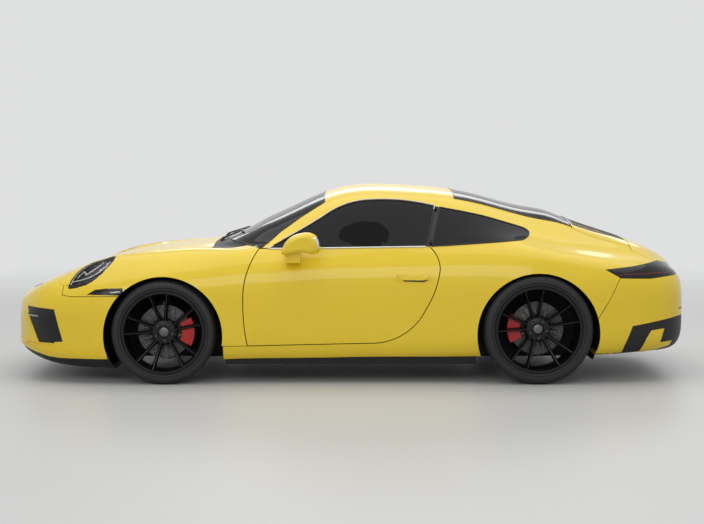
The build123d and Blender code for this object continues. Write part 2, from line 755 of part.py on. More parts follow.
# ---------------------------------------------------------------- hubs and suspension
FRONT, REAR = WHEELS
KNUCKLE_HALF_Z = 160
PIN_RADIUS = 11
PIN_REACH = 24
ARM_THICK = 22
ARM_GAP = 6
LOWER_ARM_Z = FRONT["radius"] - KNUCKLE_HALF_Z - ARM_GAP - ARM_THICK
UPPER_ARM_Z = FRONT["radius"] + KNUCKLE_HALF_Z + ARM_GAP


def upright_part(wheel, inner_y):
    """The knuckle's post and the spindle that carries the hub."""
    disc_inner = wheel["disc_y"] - DISC_HALF
    outer_y = disc_inner - 14
    x, z = wheel["x"], wheel["radius"]
    with BuildPart() as upright:
        add(block((x - 26, inner_y, z - KNUCKLE_HALF_Z), (x + 26, outer_y, z + KNUCKLE_HALF_Z)))
        with BuildSketch(Plane.XZ.offset(-outer_y)):
            with Locations((x, z)):
                Circle(46)
        extrude(amount=-8)
        with BuildSketch(Plane.XZ.offset(-outer_y)):
            with Locations((x, z)):
                Circle(SPINDLE_RADIUS)
        extrude(amount=-(disc_inner - outer_y + SPINDLE_DEPTH))
    return upright.part


def caliper_bracket(wheel, side, inner_y):
    x, z = wheel["x"], wheel["radius"]
    lows = sorted((x + side * 20, x + side * 150))
    return block((lows[0], inner_y, z - 34), (lows[1], wheel["disc_y"] - 46, z + 34))


knuckle = upright_part(FRONT, KINGPIN_Y - 22) + caliper_bracket(FRONT, -1, KINGPIN_Y - 10)
with BuildPart() as pin_bores:
    with BuildSketch(Plane.XY.offset(LOWER_ARM_Z)):
        with Locations((FRONT_AXLE_X, KINGPIN_Y)):
            Circle(PIN_RADIUS + PIN_PLAY)
    extrude(amount=ARM_THICK + ARM_GAP + PIN_REACH + 1)
    with BuildSketch(Plane.XY.offset(UPPER_ARM_Z)):
        with Locations((FRONT_AXLE_X, KINGPIN_Y)):
            Circle(PIN_RADIUS + PIN_PLAY)
    extrude(amount=-(ARM_GAP + PIN_REACH + 1))
knuckle -= pin_bores.part
front_caliper = place_wheel(caliper_part(FRONT, -1), FRONT)
for piece, name in ((knuckle, "front_knuckle"), (front_caliper, "front_caliper")):
    write(piece, f"{name}_left")
    write(mirror(piece, about=Plane.XZ), f"{name}_right")

ARM_EYE = 26


def arm_plate(wheel, low_z, inner_y, half_x, outer_y):
    """A triangular control arm with an eye round the upright's pin."""
    x = wheel["x"]
    with BuildPart() as arm:
        with BuildSketch(Plane.XY.offset(low_z)):
            with BuildLine():
                Polyline((x - half_x, inner_y), (x + half_x, inner_y), (x + ARM_EYE, outer_y),
                         (x - ARM_EYE, outer_y), close=True)
            make_face()
            with Locations((x, outer_y)):
                Circle(ARM_EYE)
            with BuildLine():
                Polyline((x - half_x + 60, inner_y), (x + half_x - 60, inner_y),
                         (x, outer_y - 80), close=True)
            make_face(mode=Mode.SUBTRACT)
        extrude(amount=ARM_THICK)
    return arm.part


def upright_pin(low_z, height):
    with BuildPart() as pin:
        with BuildSketch(Plane.XY.offset(low_z)):
            with Locations((FRONT_AXLE_X, KINGPIN_Y)):
                Circle(PIN_RADIUS)
        extrude(amount=height)
    return pin.part


with BuildPart() as front_suspension:
    add(arm_plate(FRONT, LOWER_ARM_Z, 400, 150, KINGPIN_Y))
    add(upright_pin(LOWER_ARM_Z, ARM_THICK + ARM_GAP + PIN_REACH))
    add(arm_plate(FRONT, UPPER_ARM_Z, 440, 110, KINGPIN_Y))
    add(upright_pin(UPPER_ARM_Z, -(ARM_GAP + PIN_REACH)))
    add(block((FRONT_AXLE_X - 160, 0, LOWER_ARM_Z), (FRONT_AXLE_X - 110, 420, 300)))
    add(block((FRONT_AXLE_X + 110, 0, LOWER_ARM_Z), (FRONT_AXLE_X + 160, 420, 300)))
    mirror(about=Plane.XZ)
write(front_suspension.part, "front_suspension")

REAR_LOWER_Z = REAR["radius"] - KNUCKLE_HALF_Z
REAR_UPPER_Z = REAR["radius"] + KNUCKLE_HALF_Z - ARM_THICK
with BuildPart() as rear_suspension:
    add(upright_part(REAR, 680))
    add(caliper_bracket(REAR, 1, 690))
    add(arm_plate(REAR, REAR_LOWER_Z, 480, 150, 700))
    add(arm_plate(REAR, REAR_UPPER_Z, 480, 110, 700))
    add(block((REAR_AXLE_X - 150, 400, REAR_LOWER_Z), (REAR_AXLE_X - 100, 500, 300)))
    add(block((REAR_AXLE_X + 100, 400, REAR_LOWER_Z), (REAR_AXLE_X + 150, 500, 300)))
    add(block((REAR_AXLE_X - 110, 480, REAR_LOWER_Z), (REAR_AXLE_X + 110, 500, REAR_UPPER_Z + 22)))
    mirror(about=Plane.XZ)
write(rear_suspension.part, "rear_suspension")

rear_caliper = place_wheel(caliper_part(REAR, 1), REAR)
rear_calipers = rear_caliper + mirror(rear_caliper, about=Plane.XZ)
write(rear_calipers, "rear_calipers")

# ---------------------------------------------------------------- cabin
SEAT_Y = 365
SEAT_WIDTH = 500
with BuildPart() as front_seat:
    with BuildSketch(Plane.XZ.offset(-SEAT_Y - SEAT_WIDTH / 2)):
        with BuildLine():
            Polyline((-420, FLOOR_TOP), (60, FLOOR_TOP), (120, 360), (100, 430), (-260, 400),
                     (-430, 980), (-470, 1110), (-540, 1110), (-560, 960), (-450, 330),
                     close=True)
        make_face()
    extrude(amount=SEAT_WIDTH)
    with BuildSketch(Plane.YZ.offset(-600)) as shoulders:
        with Locations((SEAT_Y - 205, 1020), (SEAT_Y + 205, 1020)):
            Rectangle(190, 220)
    extrude(amount=400, mode=Mode.SUBTRACT)
    fillet(front_seat.edges().filter_by(Axis.Y).group_by(Axis.Z)[-1], 20)
    mirror(about=Plane.XZ)
write(front_seat.part, "front_seats")

with BuildPart() as rear_seats:
    with BuildSketch(Plane.XZ.offset(-480)):
        with BuildLine():
            Polyline((-640, FLOOR_TOP), (-640, 400), (-860, 370), (-930, 820), (BULKHEAD_X, 820),
                     (BULKHEAD_X, FLOOR_TOP), close=True)
        make_face()
    extrude(amount=360)
    mirror(about=Plane.XZ)
write(rear_seats.part, "rear_seats")

DASH_HALF = 632
with BuildPart() as dashboard:
    with BuildSketch(Plane.XZ.offset(-DASH_HALF)):
        with BuildLine():
            Polyline((FIREWALL_X, 560), (560, 560), (450, 650), (440, 740), (520, 826),
                     (700, 846), (FIREWALL_X, 850), close=True)
        make_face()
    extrude(amount=2 * DASH_HALF)
    add(block((500, SEAT_Y - 170, 800), (600, SEAT_Y + 170, 880)))
    add(block((120, -100, 300), (560, 100, 600)))
write(dashboard.part, "dashboard")

STEERING = {"x": 330, "z": 790, "radius": 172, "tube": 15, "tilt": 24}
with BuildPart() as steering_wheel:
    hub = Plane((STEERING["x"], SEAT_Y, STEERING["z"]), x_dir=(0, 1, 0),
                z_dir=(-math.cos(math.radians(STEERING["tilt"])), 0,
                       math.sin(math.radians(STEERING["tilt"]))))
    with BuildSketch(Plane(hub.origin, x_dir=hub.x_dir, z_dir=hub.y_dir)):
        with Locations((STEERING["radius"], 0)):
            Circle(STEERING["tube"])
    revolve(axis=Axis(hub.origin, hub.z_dir))
    with BuildSketch(hub.offset(-20)):
        Circle(55)
        with PolarLocations(STEERING["radius"] / 2, 3, start_angle=-90):
            Rectangle(STEERING["radius"], 30)
    extrude(amount=22)
    with BuildSketch(hub.offset(-20)):
        Circle(30)
    extrude(amount=-100)
write(steering_wheel.part - dashboard.part, "steering_wheel")
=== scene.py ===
import json
import math

import bmesh
import bpy
from mathutils import Matrix, Vector


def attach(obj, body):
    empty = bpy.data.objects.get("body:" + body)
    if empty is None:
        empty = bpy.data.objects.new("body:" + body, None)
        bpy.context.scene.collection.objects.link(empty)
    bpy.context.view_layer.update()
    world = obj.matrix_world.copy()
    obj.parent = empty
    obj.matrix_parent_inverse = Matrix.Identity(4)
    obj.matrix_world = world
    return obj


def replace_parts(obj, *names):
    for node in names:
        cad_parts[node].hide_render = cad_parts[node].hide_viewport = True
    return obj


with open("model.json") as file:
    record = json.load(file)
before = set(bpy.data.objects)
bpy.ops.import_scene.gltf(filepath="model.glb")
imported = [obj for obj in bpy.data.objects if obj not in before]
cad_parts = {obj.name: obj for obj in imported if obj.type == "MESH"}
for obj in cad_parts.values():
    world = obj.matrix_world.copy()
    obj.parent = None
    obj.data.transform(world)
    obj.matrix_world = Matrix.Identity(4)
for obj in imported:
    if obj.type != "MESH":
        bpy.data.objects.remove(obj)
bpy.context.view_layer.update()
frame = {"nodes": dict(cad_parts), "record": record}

nodes = frame["nodes"]

# ---- Painted panels --------------------------------------------------------------------
# Hood, fenders, doors, roof, side frames and bumpers are pressed steel, aluminium and
# moulded covers in one solid yellow, under a clear lacquer with a faint orange peel.


class Wire:
    """A shader socket that takes part in Python arithmetic by adding Math nodes."""

    def __init__(self, finish, socket):
        self.finish = finish
        self.socket = socket

    def math(self, operation, *values):
        return self.finish.node("Math", {"operation": operation}, values)

    def __add__(self, other):
        return self.math("ADD", self, other)

    def __mul__(self, other):
        return self.math("MULTIPLY", self, other)

    __radd__ = __add__
    __rmul__ = __mul__


class Finish:
    """A material or world made of nodes. node() adds one and hands back one of its outputs."""

    def __init__(self, name, kind="materials", shader="Principled BSDF"):
        self.material = getattr(bpy.data, kind).new(name)
        self.material.use_nodes = True
        self.tree = self.material.node_tree
        self.shader = self.tree.nodes[shader]

    def node(self, kind, settings=(), inputs=(), output=0):
        made = self.tree.nodes.new("ShaderNode" + kind)
        for name, value in dict(settings).items():
            setattr(made, name, value)
        pairs = inputs.items() if isinstance(inputs, dict) else enumerate(inputs)
        for name, value in pairs:
            self.plug(made.inputs[name], value)
        return Wire(self, made.outputs[output])

    def plug(self, socket, value):
        if isinstance(value, Wire):
            self.tree.links.new(value.socket, socket)
        elif isinstance(value, (tuple, list)) and socket.type == "RGBA" and len(value) == 3:
            socket.default_value = (*value, 1.0)
        else:
            socket.default_value = value

    def place(self):
        return self.node("TexCoord", output="Object")

    def noise(self, scale, detail):
        return self.node("TexNoise", {}, {"Vector": self.place(), "Scale": scale, "Detail": detail})

    def blend(self, share, low, high):
        """A colour between low and high."""
        return self.node("Mix", {"data_type": "RGBA"}, {0: share, 6: low, 7: high}, output=2)

    def bump(self, height, distance, strength=1.0):
        return self.node("Bump", {}, {"Height": height, "Distance": distance,
                                      "Strength": strength})

    def surface(self, **inputs):
        for name, value in inputs.items():
            self.plug(self.shader.inputs[name.replace("_", " ")], value)
        return self.material


YELLOW = (0.88, 0.645, 0.026)
YELLOW_DEEP = (0.82, 0.575, 0.018)


def yellow_paint():
    """Solid yellow under lacquer, a little deeper in broad soft clouds."""
    paint = Finish("yellow_paint")
    cloud = paint.noise(3.0, 3.0)
    peel = paint.noise(900.0, 1.0)
    return paint.surface(
        Base_Color=paint.blend(cloud, YELLOW_DEEP, YELLOW),
        Roughness=0.34 + 0.04 * cloud,
        Coat_Weight=0.6,
        Coat_Roughness=0.04,
        Specular_IOR_Level=0.25,
        Normal=paint.bump(peel, 0.00004),
    )


def dress(material, *names):
    """Give CAD nodes their finish."""
    for name in names:
        mesh = nodes[name].data
        mesh.materials.clear()
        mesh.materials.append(material)


PAINTED = [row["node"] for row in frame["record"]["subparts"] if row["material_slot"] == "body_paint"]
PAINT = yellow_paint()
dress(PAINT, *PAINTED)

# ---- Glazing ---------------------------------------------------------------------------
# Windscreen, door and quarter glass are thin tinted laminated panes; the rear window is
# darker. The door glass slides in its door and the other panes are bonded.


def tinted_glass(name, tint, clear_share):
    """Thin glass: mostly see-through tint with a mirror-like front."""
    pane = Finish(name)
    smear = pane.noise(5.0, 2.0)
    return pane.surface(Base_Color=tint, Roughness=0.01 + 0.01 * smear, Alpha=1.0 - clear_share,
                        Specular_IOR_Level=0.2)


GLASS_CLEAR = tinted_glass("window_glass", (0.003, 0.004, 0.003), 0.085)
GLASS_DARK = tinted_glass("dark_glass", (0.003, 0.003, 0.003), 0.06)
dress(GLASS_CLEAR, "door_glass_left", "door_glass_right", "windscreen", "quarter_windows")
dress(GLASS_DARK, "rear_window")

# ---- Black mouldings -------------------------------------------------------------------
# Cowl, intake grilles, diffuser, wheel liners and the undertray are injection-moulded
# plastic with a fine grain.


def grained_plastic(name, colour, rough):
    """Moulded plastic with a fine grain and faintly lighter clouds."""
    plastic = Finish(name)
    grain = plastic.noise(1400.0, 2.0)
    mottle = plastic.noise(7.0, 2.0)
    lighter = tuple(min(1.0, 1.5 * part + 0.004) for part in colour)
    return plastic.surface(Base_Color=plastic.blend(mottle, colour, lighter),
                           Roughness=rough + 0.1 * grain, Specular_IOR_Level=0.3,
                           Normal=plastic.bump(grain, 0.00012, 0.6))


TRIM_BLACK = grained_plastic("black_trim", (0.012, 0.012, 0.013), 0.42)
UNDERBODY = grained_plastic("underbody_black", (0.010, 0.010, 0.011), 0.7)
CABIN_BLACK = grained_plastic("cabin_plastic", (0.014, 0.014, 0.015), 0.55)
dress(TRIM_BLACK, "cowl_panel", "front_grilles", "rear_diffuser")
dress(UNDERBODY, "wheel_liners", "floor_pan", "front_structure", "rear_structure")
dress(CABIN_BLACK, "dashboard", "steering_wheel", "front_seats", "rear_seats")

# ---- Running gear ----------------------------------------------------------------------
# Brake calipers are cast and painted red. Knuckles, suspension arms, engine and exhaust are
# left as cast, in dull grey aluminium and steel.


def metal(name, colour, rough, metallic=1.0):
    """Metal, or with metallic 0 hard lacquer, with fine darker specks."""
    part = Finish(name)
    speck = part.noise(260.0, 3.0)
    return part.surface(Base_Color=part.blend(speck, colour, tuple(0.8 * c for c in colour)),
                        Metallic=metallic, Roughness=rough + 0.12 * speck)


CALIPER_RED = metal("caliper_red", (0.55, 0.008, 0.010), 0.3, 0.0)
CAST_METAL = metal("cast_aluminium", (0.30, 0.30, 0.31), 0.45)
for name in nodes:
    if "caliper" in name:
        dress(CALIPER_RED, name)
    elif "knuckle" in name or "suspension" in name or name in ("engine", "exhaust"):
        dress(CAST_METAL, name)

# ---- Tyres -----------------------------------------------------------------------------
# Low-profile radial tyres of black rubber. The carcass is a turned section with a bead, a
# rim guard and a bulged sidewall; the tread has four round grooves and cross sipes.
WHEELS = {
    "front": {"x": 1.222, "y": 0.787, "radius": 0.340, "half": 0.1225, "rim": 0.2715},
    "rear": {"x": -1.228, "y": 0.770, "radius": 0.358, "half": 0.150, "rim": 0.2842},
}


def new_mesh(name, kind="plane", **settings):
    """Add a primitive with nothing else selected and open it in edit mode."""
    if bpy.context.object and bpy.context.object.mode == "EDIT":
        bpy.ops.object.mode_set(mode="OBJECT")
    bpy.ops.object.select_all(action="DESELECT")
    getattr(bpy.ops.mesh, f"primitive_{kind}_add")(**settings)
    piece = bpy.context.object
    piece.name = piece.data.name = name
    bpy.ops.object.mode_set(mode="EDIT")
    return piece


def close_mesh(piece, material, body, sharp=35.0):
    """Leave edit mode, put the place into the mesh and give finish, shading and body."""
    if piece.mode == "EDIT":
        bpy.ops.object.mode_set(mode="OBJECT")
    bpy.ops.object.select_all(action="DESELECT")
    piece.select_set(True)
    bpy.context.view_layer.objects.active = piece
    bpy.ops.object.transform_apply(location=True, rotation=True, scale=True)
    bpy.ops.object.shade_smooth_by_angle(angle=math.radians(sharp))
    piece.data.materials.clear()
    piece.data.materials.append(material)
    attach(piece, body)
    return piece


def pick_faces(test):
    """Select the faces of the open mesh whose centre and normal pass the test."""
    mesh = bmesh.from_edit_mesh(bpy.context.object.data)
    bpy.ops.mesh.select_mode(type="FACE")
    for face in mesh.faces:
        face.select = bool(test(face.calc_center_median(), face.normal))
    mesh.select_flush_mode()
    bmesh.update_edit_mesh(bpy.context.object.data)


def turned(name, section, steps):
    """Spin a section of (radius, y) points about the Y axis into a closed ring or dish."""
    piece = new_mesh(name)
    bpy.ops.mesh.select_mode(type="VERT")
    bpy.ops.mesh.merge(type="CENTER")
    bpy.ops.transform.translate(value=(*section[0], 0.0))
    for (r0, y0), (r1, y1) in zip(section, section[1:]):
        bpy.ops.mesh.extrude_region_move(
            TRANSFORM_OT_translate={"value": (r1 - r0, y1 - y0, 0.0)})
    bpy.ops.mesh.select_all(action="SELECT")
    bpy.ops.mesh.spin(steps=steps, angle=math.tau, center=(0, 0, 0), axis=(0, 1, 0))
    bpy.ops.mesh.select_all(action="SELECT")
    bpy.ops.mesh.remove_doubles(threshold=0.00002)
    bpy.ops.mesh.normals_make_consistent(inside=False)
    bpy.ops.object.mode_set(mode="OBJECT")
    return piece


def double(piece, move=None):
    """A copy of a piece with its own mesh, moved by a matrix."""
    twin = piece.copy()
    twin.data = piece.data.copy()
    bpy.context.scene.collection.objects.link(twin)
    if move is not None:
        twin.data.transform(move)
    return twin


def copied(piece, name, move, body):
    """A named copy that rides on a body."""
    twin = double(piece, move)
    twin.name = twin.data.name = name
    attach(twin, body)
    return twin


def far_side(wheel):
    """Half a turn about the car's upright middle, at one axle: left wheel to right wheel."""
    middle = Matrix.Translation((wheel["x"], 0, 0))
    return middle @ Matrix.Rotation(math.pi, 4, "Z") @ middle.inverted()


def on_both_sides(piece, node, end, wheel):
    """Copy a left wheel's part to the right wheel; the two stand for the CAD's own pair."""
    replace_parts(piece, f"{node}_{end}_left")
    twin = copied(piece, piece.name.replace("left", "right"), far_side(wheel), f"wheel_{end}_right")
    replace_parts(twin, f"{node}_{end}_right")


def rubber():
    """Dull black rubber with brown-grey dust in clouds."""
    tyre = Finish("tyre_rubber")
    dust = tyre.noise(9.0, 4.0)
    grain = tyre.noise(700.0, 2.0)
    dusty = tyre.blend(dust, (0.006, 0.006, 0.0065), (0.013, 0.0125, 0.012))
    return tyre.surface(Base_Color=dusty, Roughness=0.55 + 0.2 * dust, Normal=tyre.bump(grain, 0.0002, 0.5))


GROOVE_DEPTH = 0.006
GROOVE_PLACES = (-0.52, -0.18, 0.18, 0.52)
TREAD_BLOCKS = 96
SHOULDER = 0.56
SIPE_WIDTH, SIPE_DEPTH = 0.0022, 0.004
TYRE_RUBBER = rubber()
for end, wheel in WHEELS.items():
    half, radius, rim = wheel["half"], wheel["radius"], wheel["rim"]
    wall = [(rim - 0.008, half - 0.022), (rim + 0.004, half - 0.010), (rim + 0.010, half - 0.004),
            (rim + 0.016, half - 0.003), (rim + 0.020, half - 0.006),
            (rim + 0.026, half - 0.0005), (rim + 0.036, half),
            (radius - 0.022, half - 0.0025), (radius - 0.014, half - 0.008),
            (radius - 0.007, half - 0.017), (radius - 0.002, half - 0.030)]
    tread = []
    for y in (half * share for share in GROOVE_PLACES):
        tread += [(radius, y - 0.006), (radius - GROOVE_DEPTH, y - 0.004),
                  (radius - GROOVE_DEPTH, y + 0.004), (radius, y + 0.006)]
    section = [(r, -y) for r, y in wall] + tread + [(r, y) for r, y in reversed(wall)]
    section.append(section[0])
    tyre = turned(f"tyre_{end}_left_tread", section, TREAD_BLOCKS)
    bpy.ops.object.mode_set(mode="EDIT")
    step = math.tau / TREAD_BLOCKS
    pick_faces(lambda at, way: abs(at.y) > half * SHOULDER
               and math.hypot(at.x, at.z) > radius - 0.004
               and round(math.atan2(at.z, at.x) / step - 0.5) % 3 == 0)
    bpy.ops.mesh.inset(thickness=SIPE_WIDTH, depth=-SIPE_DEPTH, use_even_offset=True)
    bpy.ops.object.mode_set(mode="OBJECT")
    tyre.data.transform(Matrix.Translation((wheel["x"], wheel["y"], radius)))
    close_mesh(tyre, TYRE_RUBBER, f"wheel_{end}_left", 30)
    on_both_sides(tyre, "tyre", end, wheel)

# ---- Wheels ----------------------------------------------------------------------------
# One-piece forged wheels in gloss black: a stepped barrel with a thin lip, and ten knife-
# edged spokes in five pairs from hub to lip. Five bolts in pockets and a bare cap.


def wheel_paint():
    """Gloss black lacquer, faintly dusty."""
    lacquer = Finish("wheel_black")
    dust = lacquer.noise(14.0, 3.0)
    dusty = lacquer.blend(dust, (0.003, 0.003, 0.0035), (0.006, 0.006, 0.0065))
    return lacquer.surface(Base_Color=dusty, Roughness=0.28 + 0.08 * dust, Specular_IOR_Level=0.3)


WHEEL_BLACK = wheel_paint()
CAP_GREY = metal("cap_grey", (0.15, 0.15, 0.155), 0.34)
BOLT_STEEL = metal("bolt_steel", (0.10, 0.10, 0.105), 0.3)
PAIRS = 5
PAIR_ANGLE = 360 / PAIRS
PAIR_START = 133
SPOKE_HALF_ANGLE = 13
SPOKE_ROOT, SPOKE_WIDTH = 0.050, 0.024
KNIFE_EDGE = 0.74
TIP_FLARE, ROOT_FLARE = 0.55, 0.35
SPOKE_SWEEP = 1.6
BOLT_CIRCLE = 0.056
HUB_FACE = {"front": 0.062, "rear": 0.080}
SPOKE_DEPTH = {"front": 0.018, "rear": 0.034}


def joined(pieces):
    """Join like pieces into the first one."""
    bpy.ops.object.select_all(action="DESELECT")
    for piece in pieces:
        piece.select_set(True)
    bpy.context.view_layer.objects.active = pieces[0]
    bpy.ops.object.join()
    return pieces[0]


def finished(pieces, name, material, body, sharp=35, place=None):
    """Join loose pieces into one part, put it in place and give it its finish and body."""
    part = joined(pieces)
    part.name = part.data.name = name
    if place is not None:
        part.data.transform(place)
    return close_mesh(part, material, body, sharp)


def arrayed(piece, turns):
    """A copy of a piece for each matrix, in place of the piece."""
    copies = [double(piece, turn) for turn in turns]
    bpy.data.objects.remove(piece)
    return copies


def round_the_hub(name, size, rim, sink, lift):
    """Dished round pieces, one between each pair of spokes. Size is (sides, radius, depth)."""
    sides, radius, depth = size
    piece = new_mesh(name, "cylinder", vertices=sides, radius=radius, depth=depth)
    pick_faces(lambda at, way: way.z > 0.9)
    bpy.ops.mesh.inset(thickness=rim)
    bpy.ops.mesh.extrude_region_move(TRANSFORM_OT_translate={"value": (0, 0, -sink)})
    bpy.ops.object.mode_set(mode="OBJECT")
    stand = (Matrix.Translation((BOLT_CIRCLE, lift, 0.0)) @ Matrix.Rotation(-math.pi / 2, 4, "X"))
    first = PAIR_START + PAIR_ANGLE / 2
    return arrayed(piece, [Matrix.Rotation(math.radians(first + PAIR_ANGLE * pair), 4, "Y") @ stand
                           for pair in range(PAIRS)])


for end, wheel in WHEELS.items():
    half, rim, face = wheel["half"], wheel["rim"], HUB_FACE[end]
    lip = half - 0.006
    barrel = [(rim - 0.016, lip - 0.001), (rim - 0.003, lip), (rim, lip - 0.002),
              (rim, lip - 0.007), (rim - 0.009, lip - 0.013), (rim - 0.009, -lip + 0.013),
              (rim, -lip + 0.007), (rim, -lip + 0.001), (rim - 0.004, -lip),
              (rim - 0.012, -lip + 0.012), (rim - 0.018, -lip + 0.060),
              (rim - 0.026, 0.0), (rim - 0.024, lip - 0.040), (rim - 0.018, lip - 0.012)]
    ring = turned("wheel_barrel", barrel + [barrel[0]], 96)
    root, tip = SPOKE_ROOT, rim - 0.020
    depth = SPOKE_DEPTH[end]
    blade = new_mesh("wheel_spoke", "cube", size=1.0)
    bpy.ops.transform.resize(value=(tip - root, depth, SPOKE_WIDTH))
    bpy.ops.mesh.select_all(action="SELECT")
    bpy.ops.mesh.subdivide(number_cuts=3)
    cage = bmesh.from_edit_mesh(blade.data)
    for corner in cage.verts:
        along = min(1.0, max(0.0, corner.co.x / (tip - root) + 0.5))
        front = corner.co.y / depth + 0.5
        at_tip, at_root = 4 * max(0.0, along - 0.75), 4 * max(0.0, 0.25 - along)
        flare = 1.0 + TIP_FLARE * at_tip * (1 - front) + ROOT_FLARE * at_root
        corner.co.z *= (1.0 - KNIFE_EDGE * front) * flare
        corner.co.y += (face - 0.004) + (lip - 0.006 - face) * along ** SPOKE_SWEEP - depth / 2
        corner.co.x += (root + tip) / 2
    bmesh.update_edit_mesh(blade.data)
    bpy.ops.object.mode_set(mode="OBJECT")
    angles = [PAIR_START + PAIR_ANGLE * pair + lean
              for pair in range(PAIRS) for lean in (-SPOKE_HALF_ANGLE, SPOKE_HALF_ANGLE)]
    spokes = arrayed(blade, [Matrix.Rotation(math.radians(angle), 4, "Y") for angle in angles])
    hub = turned("wheel_hub", [(0.0, face - 0.035), (0.070, face - 0.035), (0.078, face - 0.028),
                               (0.074, face - 0.004), (0.066, face), (0.038, face + 0.002),
                               (0.034, face - 0.004), (0.0, face - 0.004)], 60)
    pockets = round_the_hub("bolt_pocket", (20, 0.015, 0.014), 0.0035, 0.006, face + 0.001)
    axle = Matrix.Translation((wheel["x"], wheel["y"], wheel["radius"]))
    forging = finished([ring] + spokes + [hub] + pockets, f"rim_{end}_left_forged", WHEEL_BLACK,
                       f"wheel_{end}_left", 28, axle)
    on_both_sides(forging, "rim", end, wheel)

    cap = turned("wheel_cap", [(0.0, face + 0.004), (0.020, face + 0.0035), (0.029, face + 0.001),
                               (0.033, face - 0.003), (0.033, face - 0.008), (0.0, face - 0.008)], 48)
    bolts = round_the_hub("wheel_bolt", (6, 0.0085, 0.012), 0.002, 0.005, face + 0.003)
    for pieces, name, finish in (([cap], "wheel_cap", CAP_GREY), (bolts, "wheel_bolts", BOLT_STEEL)):
        part = finished(pieces, f"{name}_{end}_left", finish, f"wheel_{end}_left", 35, axle)
        copied(part, f"{name}_{end}_right", far_side(wheel), f"wheel_{end}_right")

# ---- Brake discs -----------------------------------------------------------------------
# Ventilated grey-iron discs, turned on both faces and cross-drilled in swept rows of holes
# by one cut with all the drills at once.
HOLE_ROWS = 20
HOLES_A_ROW = 3
HOLE_RADIUS = 0.004
FIRST_HOLE, HOLE_STEP = 0.112, 0.026
ROW_SWEEP = 0.28


def iron():
    """Turned grey iron with fine machining marks and light rust."""
    disc = Finish("disc_iron")
    rings = disc.node("TexNoise", {"noise_dimensions": "1D"},
                      {"W": disc.node("VectorMath", {"operation": "LENGTH"}, (disc.place(),), 1),
                       "Scale": 700.0, "Detail": 1.0})
    rust = disc.noise(30.0, 4.0)
    return disc.surface(Base_Color=disc.blend(rust, (0.060, 0.058, 0.056), (0.10, 0.097, 0.094)),
                        Metallic=0.9, Roughness=0.34 + 0.14 * rings)


def opened_copy(node, name, merge):
    """A shown copy of a CAD node, open in edit mode, its corners closer than merge made one."""
    piece = double(nodes[node])
    piece.name = piece.data.name = name
    piece.hide_viewport = piece.hide_render = False
    bpy.ops.object.select_all(action="DESELECT")
    piece.select_set(True)
    bpy.context.view_layer.objects.active = piece
    bpy.ops.object.mode_set(mode="EDIT")
    bpy.ops.mesh.select_all(action="SELECT")
    bpy.ops.mesh.remove_doubles(threshold=merge)
    return piece


DISC_IRON = iron()
DISC_Y = {"front": 0.782, "rear": 0.765}
for end, wheel in WHEELS.items():
    places = []
    for row in range(HOLE_ROWS):
        for step in range(HOLES_A_ROW):
            places.append(Matrix.Translation((wheel["x"], DISC_Y[end], wheel["radius"]))
                          @ Matrix.Rotation(math.tau * (row + ROW_SWEEP * step) / HOLE_ROWS, 4, "Y")
                          @ Matrix.Translation((FIRST_HOLE + HOLE_STEP * step, 0, 0))
                          @ Matrix.Rotation(math.pi / 2, 4, "X"))
    drill = new_mesh("disc_drill", "cylinder", vertices=10, radius=HOLE_RADIUS, depth=0.12)
    bpy.ops.object.mode_set(mode="OBJECT")
    drills = joined(arrayed(drill, places))
    disc = opened_copy(f"disc_{end}_left", f"disc_{end}_left_drilled", 0.00005)
    bpy.ops.object.mode_set(mode="OBJECT")
    cut = disc.modifiers.new("drilling", "BOOLEAN")
    cut.operation, cut.solver, cut.object = "DIFFERENCE", "EXACT", drills
    bpy.ops.object.modifier_apply(modifier=cut.name)
    bpy.data.objects.remove(drills)
    close_mesh(disc, DISC_IRON, f"wheel_{end}_left", 25)
    on_both_sides(disc, "disc", end, wheel)

# ---- Window mouldings ------------------------------------------------------------------
# Gloss-black strips of plastic clip round the side glass. A thin pale metal bead along the
# belt and the roof edge is a painted highlight on the black trim. Each follows the glass's
# own outer edge.


def gloss_black(name, rough=0.12):
    """Polished black plastic with a slight haze."""
    strip = Finish(name)
    haze = strip.noise(20.0, 2.0)
    black = strip.blend(haze, (0.006, 0.006, 0.007), (0.012, 0.012, 0.013))
    return strip.surface(Base_Color=black, Roughness=rough + 0.06 * haze, Specular_IOR_Level=0.35)


GLOSS_BLACK = gloss_black("gloss_black")
# Pale metal for thin beads that stand in as painted highlights on the black trim.
HIGHLIGHT_TRIM = metal("bright_trim", (0.62, 0.62, 0.60), 0.18)


def edge_bead(node, facing, keep, radius, name, material, body, shift=(0, 0, 0)):
    """A round bead along the outline of a CAD node's outer face."""
    source = opened_copy(node, name, 0.0002)
    pick_faces(facing)
    bpy.ops.mesh.region_to_loop()
    mesh = bmesh.from_edit_mesh(source.data)
    for edge in mesh.edges:
        if edge.select and not keep((edge.verts[0].co + edge.verts[1].co) / 2):
            edge.select = False
    unwanted = [edge for edge in mesh.edges if not edge.select]
    bmesh.ops.delete(mesh, geom=unwanted, context="EDGES")
    loose = [vert for vert in mesh.verts if not vert.link_edges]
    bmesh.ops.delete(mesh, geom=loose, context="VERTS")
    bmesh.update_edit_mesh(source.data)
    bpy.ops.mesh.select_all(action="SELECT")
    bpy.ops.transform.translate(value=shift)
    bpy.ops.object.mode_set(mode="OBJECT")
    bpy.ops.object.convert(target="CURVE")
    bead = bpy.context.object
    bead.data.bevel_depth, bead.data.bevel_resolution = radius, 2
    bead.data.use_fill_caps = True
    bpy.ops.object.convert(target="MESH")
    bead = bpy.context.object
    bead.name = bead.data.name = name
    return close_mesh(bead, material, body, 60)


def upper_side(at, way):
    """Faces that look up."""
    return way.z > 0.3


def pane_side(sign):
    """Faces of the glass that look outwards on one side of the car."""
    return lambda at, way: way.y * sign > 0.25 and at.y * sign > 0


def whole_edge(at):
    return True


